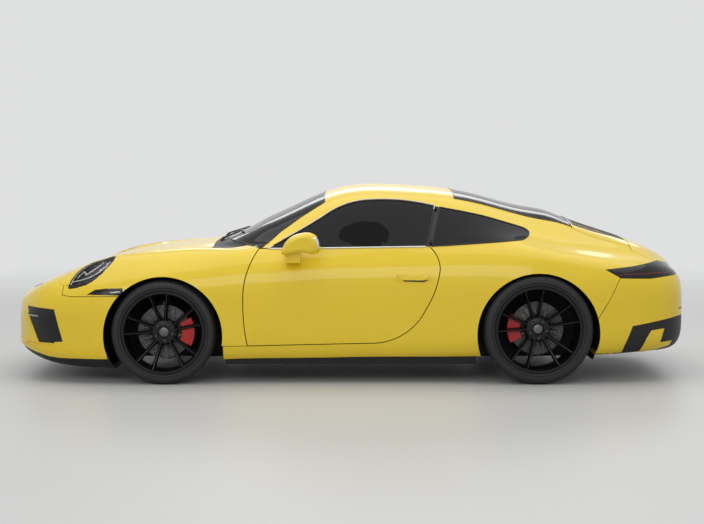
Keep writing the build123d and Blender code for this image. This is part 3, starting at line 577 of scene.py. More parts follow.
BELT = 0.897
SCREEN_CORNER = 0.708
SIDES = (("left", 1), ("right", -1))
for side, sign in SIDES:
    pane, outward = f"door_glass_{side}", pane_side(sign)
    edge_bead(pane, outward, lambda at: at.z > BELT + 0.008, 0.0052,
              f"window_seal_{side}", GLOSS_BLACK, f"door_{side}")
    # The belt bead is pale metal: a painted highlight along the lower edge of the glass.
    edge_bead(pane, outward, lambda at: at.z <= BELT, 0.0055,
              f"belt_strip_{side}", HIGHLIGHT_TRIM, f"door_{side}", (0, 0.001 * sign, 0.001))
    edge_bead("quarter_windows", outward, whole_edge, 0.0055,
              f"quarter_seal_{side}", GLOSS_BLACK, "root")
    # The roof-edge bead is pale metal: a painted highlight above the black seal.
    edge_bead(pane, outward, lambda at: at.z > 0.93 and (at.x > -0.47 or at.z > 1.13), 0.003,
              f"roof_edge_strip_{side}", HIGHLIGHT_TRIM, "root", (0, 0.004 * sign, 0.010))
edge_bead("windscreen", upper_side, lambda at: abs(at.y) < SCREEN_CORNER or at.z > BELT + 0.008, 0.005,
          "windscreen_seal", GLOSS_BLACK, "root")
edge_bead("rear_window", upper_side, whole_edge, 0.005, "rear_window_seal", GLOSS_BLACK, "root")

# ---- Wheel houses ----------------------------------------------------------------------
# A black moulded liner closes each wheel arch inwards: a drum round the tyre and an inner
# wall, cut off at the height of the bumpers' lower edges.
WHEEL_HOUSES = {"front": {"x": 1.224, "z": 0.318, "inner": 0.466, "outer": 0.76},
                "rear": {"x": -1.226, "z": 0.328, "inner": 0.596, "outer": 0.79}}
HOUSE_RADIUS = 0.411
HOUSE_WALL = 0.003
HOUSE_LOW = 0.150
for end, house in WHEEL_HOUSES.items():
    inner, outside = house["inner"], HOUSE_RADIUS + HOUSE_WALL
    liner = turned(f"wheel_house_{end}_left",
                   [(0.0, inner), (HOUSE_RADIUS - 0.012, inner), (HOUSE_RADIUS, inner + 0.012),
                    (HOUSE_RADIUS, house["outer"]), (outside, house["outer"]), (outside, inner + 0.010),
                    (HOUSE_RADIUS - 0.011, inner - HOUSE_WALL), (0.0, inner - HOUSE_WALL),
                    (0.0, inner)], 72)
    bpy.ops.object.mode_set(mode="EDIT")
    bpy.ops.mesh.select_all(action="SELECT")
    bpy.ops.transform.translate(value=(house["x"], 0, house["z"]))
    bpy.ops.mesh.bisect(plane_co=(0, 0, HOUSE_LOW), plane_no=(0, 0, -1), clear_outer=True, use_fill=True)
    close_mesh(liner, UNDERBODY, "root", 40)
    copied(liner, f"wheel_house_{end}_right", far_side(house), "root")

# ---- Panel insides ---------------------------------------------------------------------
# The body colour stops at the panels' edges: black sealant covers what looks into a wheel
# arch or down at the road, and moulded trim covers the cabin's side of doors, sides and roof.


def refinish(name, wanted, material):
    """Give a painted CAD node another finish where wanted(centre, normal) holds."""
    mesh = nodes[name].data
    mesh.materials.append(material)
    for face in mesh.polygons:
        if wanted(face.center, face.normal):
            face.material_index = len(mesh.materials) - 1


def in_wheel_arch(at, way):
    """Whether a face looks into a wheel arch, inwards beside one, or down at the road."""
    for house in WHEEL_HOUSES.values():
        to_wheel = Vector((house["x"] - at.x, 0, house["z"] - at.z))
        near = abs(at.y) > 0.4 and to_wheel.length < HOUSE_RADIUS + 0.16
        if near and (way.dot(to_wheel.normalized()) > 0.6 or way.y * at.y < -0.3):
            return True
    return way.z < -0.85 and at.z < 0.2


def in_cabin(at, way):
    """Whether a face of a door, side frame or roof looks into the cabin."""
    inward = way.y * at.y < -0.3
    overhead = at.z > 1.0 and way.z < -0.3
    return -1.25 < at.x < 0.80 and at.z > 0.2 and (inward or overhead)


for name in PAINTED:
    if name.startswith(("front_bumper", "front_fender", "side_frame", "rear_bumper")):
        refinish(name, in_wheel_arch, UNDERBODY)
    if name.startswith(("door", "side_frame", "roof_panel")):
        refinish(name, in_cabin, CABIN_BLACK)

# ---- Pillar covers, side slits, door handles and apron inserts -------------------------
# Thin moulded covers that lie on the skin: gloss black on the door pillars and ahead of the
# front wheels, body colour for the flush door handles and in the rear apron's corners. A black
# sheet under each handle is painted shadow, and a pale patch in each side slit is a painted
# glint. Each takes the panel's own curve.


def inside(outline, spot):
    """Whether a point of the plane lies within a closed outline."""
    crossings = 0
    for (u0, v0), (u1, v1) in zip(outline, outline[1:] + outline[:1]):
        if (v0 > spot[1]) != (v1 > spot[1]):
            crossings += spot[0] < u0 + (spot[1] - v0) * (u1 - u0) / (v1 - v0)
    return crossings % 2 == 1


def patch(node, outline, view, facing, proud, thick, name, material, body, keep_inside=True):
    """A cover over part of a CAD panel, inside or outside an outline seen along one axis."""
    cover = opened_copy(node, name, 0.0001)
    pick_faces(lambda at, way: not facing(at, way))
    bpy.ops.mesh.delete(type="FACE")
    across, upright = {"side": (0, 2), "top": (0, 1), "end": (1, 2)}[view]

    def cut(start, end, clear):
        """Cut the whole mesh along one line of the view."""
        spot, away = [0.0] * 3, [0.0] * 3
        spot[across], spot[upright] = start
        away[across], away[upright] = end[1] - start[1], start[0] - end[0]
        bpy.ops.mesh.select_all(action="SELECT")
        bpy.ops.mesh.bisect(plane_co=spot, plane_no=away, clear_outer=clear)

    if keep_inside:
        low_u, high_u = min(u for u, _ in outline), max(u for u, _ in outline)
        low_v, high_v = min(v for _, v in outline), max(v for _, v in outline)
        corners = [(low_u, low_v), (high_u, low_v), (high_u, high_v), (low_u, high_v)]
        for start, end in zip(corners, corners[1:] + corners[:1]):
            cut(start, end, True)
    for start, end in zip(outline, outline[1:] + outline[:1]):
        cut(start, end, False)
    pick_faces(lambda at, way: inside(outline, (at[across], at[upright])) != keep_inside)
    bpy.ops.mesh.delete(type="FACE")
    bpy.ops.mesh.select_all(action="SELECT")
    bpy.ops.transform.shrink_fatten(value=proud)
    bpy.ops.object.mode_set(mode="OBJECT")
    wall = cover.modifiers.new("thickness", "SOLIDIFY")
    wall.thickness, wall.offset = thick, -1.0
    bpy.ops.object.modifier_apply(modifier=wall.name)
    return close_mesh(cover, material, body, 40)


def mm(*points):
    """Points of an outline, given in millimetres."""
    return [(u / 1000, v / 1000) for u, v in points]


def outer(sign, least=0.2):
    """Faces that look outwards on one side of the car."""
    return lambda at, way: way.y * sign > least and at.y * sign > 0.3


APRON_INSERTS = (
    mm((-1901, 198), (-1940, 297), (-1972, 350), (-2063, 360), (-2037, 265), (-2005, 212)),
    mm((-2037, 266), (-2128, 272), (-2115, 239), (-2006, 213)))
PILLAR = mm((-500, 902), (-536, 900), (-596, 1149), (-562, 1156))
SLIT = mm((1715, 588), (1664, 620), (1597, 629), (1479, 632), (1479, 586))
# Outline of a pale patch in the black slit: a painted glint.
SLIT_PAINTED_GLINT = mm((1572, 601), (1556, 608), (1500, 612), (1500, 606), (1540, 602))
HANDLE = mm((-303, 706), (-316, 719), (-493, 722), (-504, 712), (-504, 690), (-470, 681), (-345, 684))
# Outline of a black sheet under the handle: painted shadow.
HANDLE_SHADOW = mm((-335, 690), (-350, 674), (-478, 671), (-497, 679), (-500, 692))
# Pale grey part-metal: clear lamp lenses, and the painted glint in each side slit.
LAMP_CLEAR_AND_GLINT = metal("lamp_clear", (0.35, 0.36, 0.38), 0.1, 0.3)
for side, sign in SIDES:
    patch(f"side_frame_{side}", PILLAR, "side", outer(sign), 0.0012, 0.003,
          f"pillar_cover_{side}", GLOSS_BLACK, "root")
    patch(f"front_fender_{side}", SLIT, "side", outer(sign), 0.0008, 0.003,
          f"side_slit_{side}", GLOSS_BLACK, "root")
    # A pale patch within the black slit: a painted glint.
    patch(f"front_fender_{side}", SLIT_PAINTED_GLINT, "side", outer(sign), 0.0022, 0.003,
          f"side_marker_{side}", LAMP_CLEAR_AND_GLINT, "root")
    # A black sheet on the skin under the handle: painted shadow below the raised flap.
    patch(f"door_{side}", HANDLE_SHADOW, "side", outer(sign), 0.0006, 0.002,
          f"handle_hollow_{side}", TRIM_BLACK, f"door_{side}")
    patch(f"door_{side}", HANDLE, "side", outer(sign), 0.0050, 0.004,
          f"door_handle_{side}", PAINT, f"door_{side}")
    insert = joined([patch("rear_diffuser", shape, "side", outer(sign, 0.1), 0.003, 0.006,
                           "apron_insert", PAINT, "root") for shape in APRON_INSERTS])
    insert.name = insert.data.name = f"apron_insert_{side}"

# ---- Engine-lid grille -----------------------------------------------------------------
# A satin-black moulded air grille fills the middle of the engine lid. Its face lies on the
# ribs between the lid's slots, and a louvre closes each slot just below it.


def skin_at(node, start, way):
    """Where a line from start along way first meets a CAD node, and the normal there."""
    hit, spot, normal, _ = nodes[node].ray_cast(Vector(start), Vector(way).normalized())
    if not hit:
        raise ValueError(f"nothing of {node} lies that way from {start}")
    return spot, normal


def block_piece(name, size, turn, bevel=0.0, segments=2):
    """A bevelled block of a size, put in place by a matrix."""
    piece = new_mesh(name, "cube", size=1.0)
    bpy.ops.transform.resize(value=size)
    if bevel:
        bpy.ops.mesh.select_all(action="SELECT")
        bpy.ops.mesh.bevel(offset=bevel, segments=segments)
    bpy.ops.object.mode_set(mode="OBJECT")
    piece.data.transform(turn)
    return piece


def between(start, end):
    """A matrix whose X runs from start to end, about their middle, with Z kept upward."""
    start, end = Vector(start), Vector(end)
    along = (end - start).normalized()
    side = Vector((0, 0, 1)).cross(along).normalized()
    up = along.cross(side)
    place = Matrix((along, side, up)).transposed().to_4x4()
    place.translation = (start + end) / 2
    return place


GRILLE = mm((-1514, -408), (-1514, 408), (-1870, 408), (-1870, -408))
patch("engine_lid", GRILLE, "top", upper_side, 0.0012, 0.006, "lid_grille", TRIM_BLACK, "engine_lid")

LOUVRE_COUNT, LOUVRE_PITCH = 19, 0.040
LOUVRE_WIDTH, LOUVRE_HEIGHT = 0.0198, 0.010
LOUVRE_STATIONS = (-1.5335, -1.640, -1.745, -1.8505)
LOUVRE_DEPTH = Vector((0, 0, -0.0065))
louvres = []
for number in range(LOUVRE_COUNT):
    y = (number - (LOUVRE_COUNT - 1) / 2) * LOUVRE_PITCH
    ribs = [[skin_at("engine_lid", (x, y + half, 2.0), (0, 0, -1))[0] for x in LOUVRE_STATIONS]
            for half in (-LOUVRE_PITCH / 2, LOUVRE_PITCH / 2)]
    spots = [(low + high) / 2 + LOUVRE_DEPTH for low, high in zip(*ribs)]
    for start, end in zip(spots, spots[1:]):
        size = ((end - start).length + 0.002, LOUVRE_WIDTH, LOUVRE_HEIGHT)
        louvres.append(block_piece("louvre", size, between(start, end)))
finished(louvres, "lid_louvres", TRIM_BLACK, "engine_lid")

# ---- Headlamps -------------------------------------------------------------------------
# Oval lamps under clear moulded covers: a dark bowl sunk behind the skin, a projector with
# a bright ring in the middle and four square light units round it, and thin bright blades.
# A body-colour surround and a black rim on the fender close the lamp's outline.
LAMP_MIDDLE = Vector((1.722, 0.705, 0.716))
LAMP_FACING = Vector((0.568, 0.27, 0.78)).normalized()
backward = Vector((-0.81, 0, 0.59))
LAMP_LONG = (backward - LAMP_FACING * backward.dot(LAMP_FACING)).normalized()
LAMP_SHORT = LAMP_FACING.cross(LAMP_LONG)
lamp_frame = Matrix((LAMP_LONG, LAMP_SHORT, LAMP_FACING)).transposed().to_4x4()
lamp_frame.translation = LAMP_MIDDLE


def clear_cover(name):
    """Clear moulded plastic, shown as a faint dark film that mirrors."""
    cover = Finish(name)
    haze = cover.noise(12.0, 2.0)
    return cover.surface(Base_Color=(0.05, 0.05, 0.055), Roughness=0.01 + 0.02 * haze, Alpha=0.16,
                         Specular_IOR_Level=0.6)


def glow(name, colour, strength):
    """A light unit's lens, faintly lit."""
    light = Finish(name)
    fleck = light.noise(60.0, 1.0)
    return light.surface(Base_Color=colour, Roughness=0.2 + 0.1 * fleck,
                         Emission_Color=light.blend(fleck, colour, colour), Emission_Strength=strength)


LAMP_OUTLINE = mm((1858, 840), (1854, 808), (1848, 782), (1833, 750), (1808, 715), (1772, 682), (1728, 654),
                  (1680, 632), (1600, 560), (1450, 560), (1450, 900), (1858, 900))
WHOLE_LAMP = mm((1300, 0), (1300, 1000), (2200, 1000), (2200, 0))
LAMP_RIM = mm((1852, 640), (1850, 622), (1838, 620), (1790, 630), (1736, 646), (1700, 664), (1666, 687),
              (1632, 718), (1602, 752), (1570, 800), (1700, 800), (1790, 730))
LAMP_BLADES = (
    mm((1840, 778), (1800, 790), (1755, 802), (1712, 808), (1672, 805), (1640, 795), (1605, 778),
       (1580, 752), (1586, 748), (1609, 771), (1643, 789), (1673, 799), (1712, 802), (1754, 796),
       (1799, 784), (1838, 772)),
    mm((1798, 772), (1758, 748), (1738, 783), (1664, 764), (1627, 740), (1631, 733), (1667, 755),
       (1734, 773), (1757, 737), (1801, 764)),
    mm((1842, 788), (1827, 753), (1802, 720), (1767, 690), (1725, 662), (1721, 668), (1762, 697),
       (1796, 726), (1820, 757), (1835, 790)))
LAMP_BLADE = metal("lamp_blade", (0.75, 0.76, 0.78), 0.25)
CLEAR_COVER = clear_cover("lamp_cover_clear")
LED_WHITE = glow("led_white", (0.85, 0.88, 0.95), 0.35)
BRIGHT_RING = metal("lamp_chrome", (0.70, 0.71, 0.73), 0.12)
LAMP_BOWL = gloss_black("lamp_bowl", 0.3)
BOWL_DEPTH = 0.034
bowls = opened_copy("headlamps", "headlamp_bowls", 0.0001)
for sign in (1, -1):
    inward = Vector((LAMP_FACING.x, LAMP_FACING.y * sign, LAMP_FACING.z)) * -BOWL_DEPTH
    pick_faces(lambda at, way: at.y * sign > 0 and way.z > 0.25 and way.dot(inward) < -0.02)
    bpy.ops.mesh.inset(thickness=0.010, use_boundary=True, use_even_offset=False)
    bpy.ops.transform.translate(value=inward)
close_mesh(bowls, LAMP_BOWL, "root", 35)
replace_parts(bowls, "headlamps")


def lamp_skin(sign):
    """The lamp's outer faces on one side of the car."""
    return lambda at, way: way.z > 0.25 and at.y * sign > 0


def on_side(outline, sign):
    """An outline seen from above, on the left or mirrored to the right."""
    return [(x, y * sign) for x, y in outline]


for side, sign in SIDES:
    skin = lamp_skin(sign)
    patch("headlamps", on_side(LAMP_OUTLINE, sign), "top", skin, 0.0010, 0.004,
          f"headlamp_surround_{side}", PAINT, "root", keep_inside=False)
    blades = joined([patch("headlamps", on_side(shape, sign), "top", skin, -0.003, 0.004,
                           "headlamp_blade", LAMP_BLADE, "root") for shape in LAMP_BLADES])
    blades.name = blades.data.name = f"headlamp_blades_{side}"
    patch(f"front_fender_{side}", LAMP_RIM, "side", outer(sign), 0.0008, 0.003,
          f"headlamp_rim_{side}", GLOSS_BLACK, "root")
    patch("headlamps", on_side(WHOLE_LAMP, sign), "top", skin, 0.0004, 0.002,
          f"headlamp_cover_{side}", CLEAR_COVER, "root")


def lamp_turned(name, section, steps, stretch=(1.0, 1.0, 1.0)):
    """A turned part of the lamp, facing up about the origin until it gets the lamp's place."""
    part = turned(name, section, steps)
    part.data.transform(Matrix.Rotation(math.pi / 2, 4, "X") @ Matrix.Diagonal((*stretch, 1.0)))
    return part


ring_section = [(0.030, -0.016), (0.034, -0.004), (0.037, -0.004), (0.040, -0.020), (0.030, -0.024),
                (0.030, -0.016)]
oval_section = [(0.078, -0.024), (0.080, -0.014), (0.083, -0.014), (0.085, -0.026), (0.078, -0.024)]
lens_section = [(0.0, -0.008), (0.012, -0.0095), (0.023, -0.014), (0.030, -0.021), (0.0, -0.021),
                (0.0, -0.008)]
chrome = [lamp_turned("headlamp_ring", ring_section, 40),
          lamp_turned("headlamp_oval", oval_section, 48, (1.55, 1.0, 0.98))]
lens = lamp_turned("headlamp_lens", lens_section, 40)
unit = block_piece("headlamp_unit", (0.034, 0.020, 0.014), Matrix(), 0.004)
units = arrayed(unit, [Matrix.Translation((along, across, -0.018))
                       for along in (-0.066, 0.066) for across in (-0.036, 0.036)])
for pieces, name, finish in ((chrome, "headlamp_rings", BRIGHT_RING), ([lens], "headlamp_lens", BRIGHT_RING),
                             (units, "headlamp_units", LED_WHITE)):
    part = finished(pieces, f"{name}_left", finish, "root", 35, lamp_frame)
    twin = copied(part, f"{name}_right", Matrix.Diagonal((1, -1, 1, 1)), "root")
    twin.data.flip_normals()

# ---- Front intakes ---------------------------------------------------------------------
# Three level black bars cross the middle opening. Each outer one has a gloss-black frame, a
# body-colour vane on its inner side and a slim clear lamp bar at its top.
BAR_LEVELS = (0.222, 0.252, 0.282)
BAR_STATIONS = (-0.36, 0.0, 0.36)
INTAKE_FRAME = mm((2150, 497), (1944, 487), (1917, 385), (1887, 277), (1941, 272), (2085, 268), (2130, 400))
INTAKE_VANE = mm((2240, 520), (2158, 480), (2145, 440), (2118, 380), (2088, 312), (2060, 255), (2240, 255))
LAMP_BAR_LEVEL = 0.436
LAMP_BAR_STATIONS = (0.665, 0.69, 0.715, 0.738)
LAMP_BAR_PROUD = Vector((0.006, 0, 0))


def nose_at(node, y, z):
    """The spot where a CAD node is met from straight ahead of the car."""
    return skin_at(node, (3.0, y, z), (-1, 0, 0))[0]


def forward_side(sign):
    """Faces of the outer intake that look ahead, on one side of the car."""
    return lambda at, way: way.x > 0.2 and at.y * sign > 0.45


bars = []
for z in BAR_LEVELS:
    spots = [nose_at("front_grilles", y, z) for y in BAR_STATIONS]
    for start, end in zip(spots, spots[1:]):
        bars.append(block_piece("intake_bar", ((end - start).length + 0.004, 0.012, 0.006),
                                between(start, end), 0.002))
finished(bars, "intake_bars", GLOSS_BLACK, "root")
for side, sign in SIDES:
    patch("front_bumper", INTAKE_FRAME, "side", outer(sign), 0.0015, 0.004,
          f"intake_frame_{side}", GLOSS_BLACK, "root")
    patch("front_grilles", INTAKE_VANE, "side", forward_side(sign), 0.006, 0.012,
          f"intake_vane_{side}", PAINT, "root")
    spots = [nose_at("front_grilles", y * sign, LAMP_BAR_LEVEL) + LAMP_BAR_PROUD
             for y in LAMP_BAR_STATIONS]
    lamp = [block_piece("intake_lamp", ((end - start).length + 0.003, 0.016, 0.013),
                        between(start, end), 0.003) for start, end in zip(spots, spots[1:])]
    finished(lamp, f"intake_lamp_{side}", LAMP_CLEAR_AND_GLINT, "root")

# ---- Chin and front lip ----------------------------------------------------------------
# The bumper's turned-under edge is a black moulding; above it a body-colour lip stands out
# as a low ledge from wheel arch to wheel arch.
BUMPER_CORE = Vector((1.45, 0.0, 0.50))
CHIN = mm((1500, 60), (1500, 166), (1914, 166), (1986, 174), (2100, 202), (2215, 233), (2300, 245),
          (2300, 60))
CHIN_ENDS = mm((1480, 60), (1480, 166), (1690, 166), (1690, 60))
LIP = mm((1560, 172), (1560, 200), (1769, 205), (1957, 223), (2094, 252), (2300, 268), (2300, 245),
         (2215, 233), (2100, 204), (1986, 178), (1914, 171))


def bumper_skin(at, way):
    """Faces of the bumper that look away from its middle."""
    return way.dot(at - BUMPER_CORE) > 0.08


def every_face(at, way):
    return True


patch("front_bumper", CHIN, "side", bumper_skin, 0.0012, 0.004, "front_chin", TRIM_BLACK, "root")
patch("front_bumper", CHIN_ENDS, "side", every_face, 0.0010, 0.002, "chin_ends", TRIM_BLACK, "root")
patch("front_bumper", LIP, "side", bumper_skin, 0.009, 0.010, "front_lip", PAINT, "root")

# ---- Nose badge seat -------------------------------------------------------------------
# A small bare shield of dull metal, set on the nose ahead of the front lid.
SHIELD_METAL = metal("shield_metal", (0.30, 0.29, 0.26), 0.38)
SHIELD_RADIUS, SHIELD_LENGTHENED = 0.026, 1.25
spot, normal = skin_at("front_bumper", (2.6, 0.0, 1.2), (-0.62, 0, -1.0))
shield = new_mesh("nose_shield", "cylinder", vertices=32, radius=SHIELD_RADIUS, depth=0.005)
pick_faces(lambda at, way: way.z > 0.9)
bpy.ops.mesh.inset(thickness=0.004)
bpy.ops.mesh.extrude_region_move(TRANSFORM_OT_translate={"value": (0, 0, 0.0015)})
bpy.ops.object.mode_set(mode="OBJECT")
shield.data.transform(Matrix.Translation(spot) @ normal.to_track_quat("Z", "X").to_matrix().to_4x4()
                      @ Matrix.Diagonal((SHIELD_LENGTHENED, 1.0, 1.0, 1.0)))
close_mesh(shield, SHIELD_METAL, "root", 40)

# ---- Wipers ----------------------------------------------------------------------------
# Two black arms park along the foot of the windscreen, each with a rubber blade. A span runs
# crosswise from an arm's pivot to the tip of its blade.
WIPER_SPANS = ((0.42, -0.08), (-0.10, -0.56))
WIPER_LIFT = Vector((0, 0, 0.014))
PIVOT_X = 0.872


def on_screen(y):
    """Where a parked blade meets the windscreen, on a line that sweeps back from the middle."""
    return skin_at("windscreen", (0.785 - 0.15 * abs(y), y, 2.0), (0, 0, -1))[0]


wipers = []
for pivot_y, tip_y in WIPER_SPANS:
    pivot, _ = skin_at("cowl_panel", (PIVOT_X, pivot_y, 2.0), (0, 0, -1))
    heel, middle, toe = (on_screen(y) for y in (pivot_y - 0.02, (pivot_y + tip_y) / 2, tip_y))
    hub = new_mesh("wiper_hub", "cylinder", vertices=24, radius=0.016, depth=0.022, location=pivot)
    pick_faces(lambda at, way: way.z > 0.9)
    bpy.ops.mesh.bevel(offset=0.004, segments=2)
    bpy.ops.object.mode_set(mode="OBJECT")
    bpy.ops.object.transform_apply(location=True)
    wipers.append(hub)
    for start, end, width in ((pivot + WIPER_LIFT, middle + WIPER_LIFT, 0.013),
                              (heel + WIPER_LIFT * 0.6, middle + WIPER_LIFT * 0.7, 0.009),
                              (middle + WIPER_LIFT * 0.7, toe + WIPER_LIFT * 0.6, 0.009)):
        wipers.append(block_piece("wiper_arm", ((end - start).length, width, 0.009),
                                  between(start, end), 0.002))
finished(wipers, "wipers", TRIM_BLACK, "root")

# ---- Rear light bar --------------------------------------------------------------------
# A full-width bar under a smoked cover, with a thin red light line in its lower half. The
# line is in three lengths that meet at the corners.
RED_LINE = glow("red_light_line", (0.10, 0.003, 0.004), 0.02)
TAIL_GLASS = gloss_black("tail_glass", 0.06)
LINE_CORNER = mm((-1700, 713), (-1790, 722), (-2000, 727), (-2000, 719), (-1790, 714))
LINE_MIDDLE = mm((-800, 727), (800, 727), (800, 719), (-800, 719))


def backward_side(least):
    """Faces that look back by at least this much."""
    return lambda at, way: way.x < -least


dress(TAIL_GLASS, "tail_lamp")
for side, sign in SIDES:
    patch("tail_lamp", LINE_CORNER, "side", outer(sign, 0.1), 0.0006, 0.001,
          f"tail_line_{side}", RED_LINE, "root")
patch("tail_lamp", LINE_MIDDLE, "end", backward_side(0.35), 0.0008, 0.001,
      "tail_line_middle", RED_LINE, "root")

# ---- Plate, reflectors and exhaust tips ------------------------------------------------
# A bare pale plate on a black carrier in the apron, two red reflectors, and two round
# polished tail pipes.
REFLECTOR_RED = metal("reflector_red", (0.34, 0.010, 0.012), 0.2, 0.0)
REFLECTOR = mm((555, 474), (690, 474), (695, 480), (690, 486), (555, 486), (550, 480))
PLATE_WHITE = grained_plastic("plate_white", (0.62, 0.62, 0.60), 0.4)
PIPE_SECTION = [(0.033, -0.10), (0.036, 0.0), (0.038, 0.004), (0.040, 0.0), (0.038, -0.012),
                (0.037, -0.10), (0.033, -0.10)]
PIPE_X, PIPE_Y, PIPE_Z = -2.246, 0.350, 0.288
PLATE_LEVEL = 0.572
plate_at, plate_way = skin_at("rear_bumper", (-3.0, 0.0, PLATE_LEVEL), (1, 0, 0))
plate_turn = Matrix.Translation(plate_at) @ Matrix.Rotation(-math.atan2(plate_way.z, -plate_way.x), 4, "Y")
finished([block_piece("plate_carrier", (0.006, 0.530, 0.122), plate_turn, 0.003)],
         "plate_carrier", TRIM_BLACK, "root")
finished([block_piece("plate", (0.003, 0.520, 0.112),
                      plate_turn @ Matrix.Translation((-0.0035, 0, 0)), 0.001)],
         "rear_plate", PLATE_WHITE, "root")
for side, sign in SIDES:
    finished([turned("tail_pipe", PIPE_SECTION, 48)], f"tail_pipe_{side}", BRIGHT_RING, "root", 35,
             Matrix.Translation((PIPE_X, PIPE_Y * sign, PIPE_Z)) @ Matrix.Rotation(math.pi / 2, 4, "Z"))
    patch("rear_bumper", [(y * sign, z) for y, z in REFLECTOR], "end", backward_side(0.3), 0.0014,
          0.003, f"reflector_{side}", REFLECTOR_RED, "root")

# ---- Door mirrors ----------------------------------------------------------------------
# Silvered glass in the back of each mirror head, which rides on the door.
SILVER = metal("mirror_silver", (0.80, 0.81, 0.82), 0.02)
MIRROR_GLASS = mm((915, 885), (1000, 895), (1003, 965), (915, 975))
for side, sign in SIDES:
    patch(f"mirror_{side}", [(y * sign, z) for y, z in MIRROR_GLASS], "end", backward_side(0.35),
          0.0006, 0.002, f"mirror_glass_{side}", SILVER, f"door_{side}")

# ---- Seats -----------------------------------------------------------------------------
# Front bucket seats in black leather over foam: a cushion and a back, each with raised side
# bolsters and a stitched centre, and a head restraint on the back's top. They stand on a
# moulded frame with two rails, and a shell covers the back from behind.


def leather():
    """Grained black leather, worn a little lighter in patches."""
    hide = Finish("seat_leather")
    pores = hide.noise(420.0, 3.0)
    wear = hide.noise(6.0, 3.0)
    worn = hide.blend(wear, (0.012, 0.012, 0.013), (0.024, 0.023, 0.022))
    return hide.surface(Base_Color=worn, Roughness=0.42 + 0.16 * wear, Normal=hide.bump(pores, 0.0004, 0.5))


LEATHER = leather()
PAD_CUTS = 6
BOLSTER_FROM, BOLSTER_CURVE, BOLSTER_RISE = 0.45, 1.2, 1.6
SEAM_PLACE, SEAM_REACH, SEAM_SINK = 0.55, 0.12, 0.12
CROWN_SHARE, CORNER_ROUNDING = 0.6, 0.10


def pad(name, size, place, crown, bolster=0.0):
    """A foam pad: a block of a size with a crowned face, two sunk seams and side bolsters."""
    piece = new_mesh(name, "cube", size=1.0)
    bpy.ops.mesh.select_all(action="SELECT")
    bpy.ops.mesh.subdivide(number_cuts=PAD_CUTS)
    cage = bmesh.from_edit_mesh(piece.data)
    for corner in cage.verts:
        u, v, w = corner.co
        rise = crown * (1 - (2 * u) ** 2) * CROWN_SHARE
        rise += bolster * max(0.0, abs(2 * v) - BOLSTER_FROM) ** BOLSTER_CURVE * BOLSTER_RISE
        if abs(abs(2 * v) - SEAM_PLACE) < SEAM_REACH:
            rise -= SEAM_SINK * crown
        round_off = 1 - CORNER_ROUNDING * ((2 * v) ** 4 + (2 * u) ** 4) / 2
        corner.co = (u * size[0] * round_off, v * size[1] * round_off, w * size[2] + rise * (w + 0.5))
    bmesh.update_edit_mesh(piece.data)
    bpy.ops.object.mode_set(mode="OBJECT")
    soft = piece.modifiers.new("rounding", "SUBSURF")
    soft.levels = soft.render_levels = 1
    bpy.ops.object.modifier_apply(modifier=soft.name)
    piece.data.transform(place)
    return piece


def leaned(x, y, z, degrees):
    """A place in the cabin, leaned about the crosswise axis."""
    return Matrix.Translation((x, y, z)) @ Matrix.Rotation(math.radians(degrees), 4, "Y")


SEAT_Y = 0.37
for side, sign in SIDES:
    middle_y = sign * SEAT_Y
    cushion = pad("seat_cushion", (0.50, 0.50, 0.12), leaned(-0.08, middle_y, 0.355, -5), 0.022, 0.030)
    back = pad("seat_back", (0.62, 0.48, 0.10), leaned(-0.410, middle_y, 0.660, 73), 0.018, 0.045)
    head = pad("seat_head", (0.19, 0.27, 0.090), leaned(-0.500, middle_y, 1.030, 76), 0.018)
    seat = finished([cushion, back, head], f"front_seat_{side}_trim", LEATHER, "root", 60)
    rails = [block_piece("seat_frame", (0.46, 0.40, 0.10),
                         Matrix.Translation((-0.10, middle_y, 0.245)), 0.02, 3)]
    for rail_y in (-0.17, 0.17):
        rails.append(block_piece("seat_rail", (0.50, 0.035, 0.045),
                                 Matrix.Translation((-0.09, middle_y + rail_y, 0.1725)), 0.006))
    rails.append(pad("seat_shell", (0.60, 0.46, 0.06), leaned(-0.462, middle_y, 0.630, -106), 0.02))
    finished(rails, f"front_seat_{side}_frame", CABIN_BLACK, "root", 40)
    if side == "left":
        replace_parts(seat, "front_seats")
dress(LEATHER, "rear_seats")

# ---- Steering wheel --------------------------------------------------------------------
# A leather rim on a three-spoke frame round a moulded centre pad, on the dash column.
STEER_MIDDLE = Vector((0.330, SEAT_Y, 0.790))
STEER_RADIUS, STEER_TUBE = 0.172, 0.0145
STEER_RAKE = math.radians(24)
steer_way = Vector((-math.cos(STEER_RAKE), 0, math.sin(STEER_RAKE)))
steer_turn = Matrix((Vector((0, 1, 0)), steer_way, Vector((0, 1, 0)).cross(steer_way))).transposed().to_4x4()
steer_turn.translation = STEER_MIDDLE
circle = [(STEER_RADIUS + STEER_TUBE * math.cos(a), STEER_TUBE * 1.1 * math.sin(a))
          for a in (math.tau * step / 14 for step in range(15))]
grip = turned("steering_rim", circle, 64)
centre = turned("steering_pad", [(0.0, 0.020), (0.034, 0.017), (0.052, 0.010), (0.058, 0.0),
                                 (0.054, -0.016), (0.034, -0.022), (0.028, -0.100), (0.0, -0.100)], 40)
ARM_SIZE = (STEER_RADIUS - 0.04, 0.009, 0.016)
ARM_MIDDLE = (STEER_RADIUS + 0.036) / 2
arms = [centre]
for angle, offsets in ((4, (0.014, -0.014)), (176, (0.014, -0.014)), (-90, (0.0,))):
    turn = Matrix.Rotation(math.radians(angle), 4, "Y")
    for offset in offsets:
        arms.append(block_piece("steering_arm", ARM_SIZE,
                                turn @ Matrix.Translation((ARM_MIDDLE, -0.004, offset)), 0.003))
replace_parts(finished([grip], "steering_rim", LEATHER, "root", 40, steer_turn), "steering_wheel")
finished(arms, "steering_arms", CABIN_BLACK, "root", 40, steer_turn)

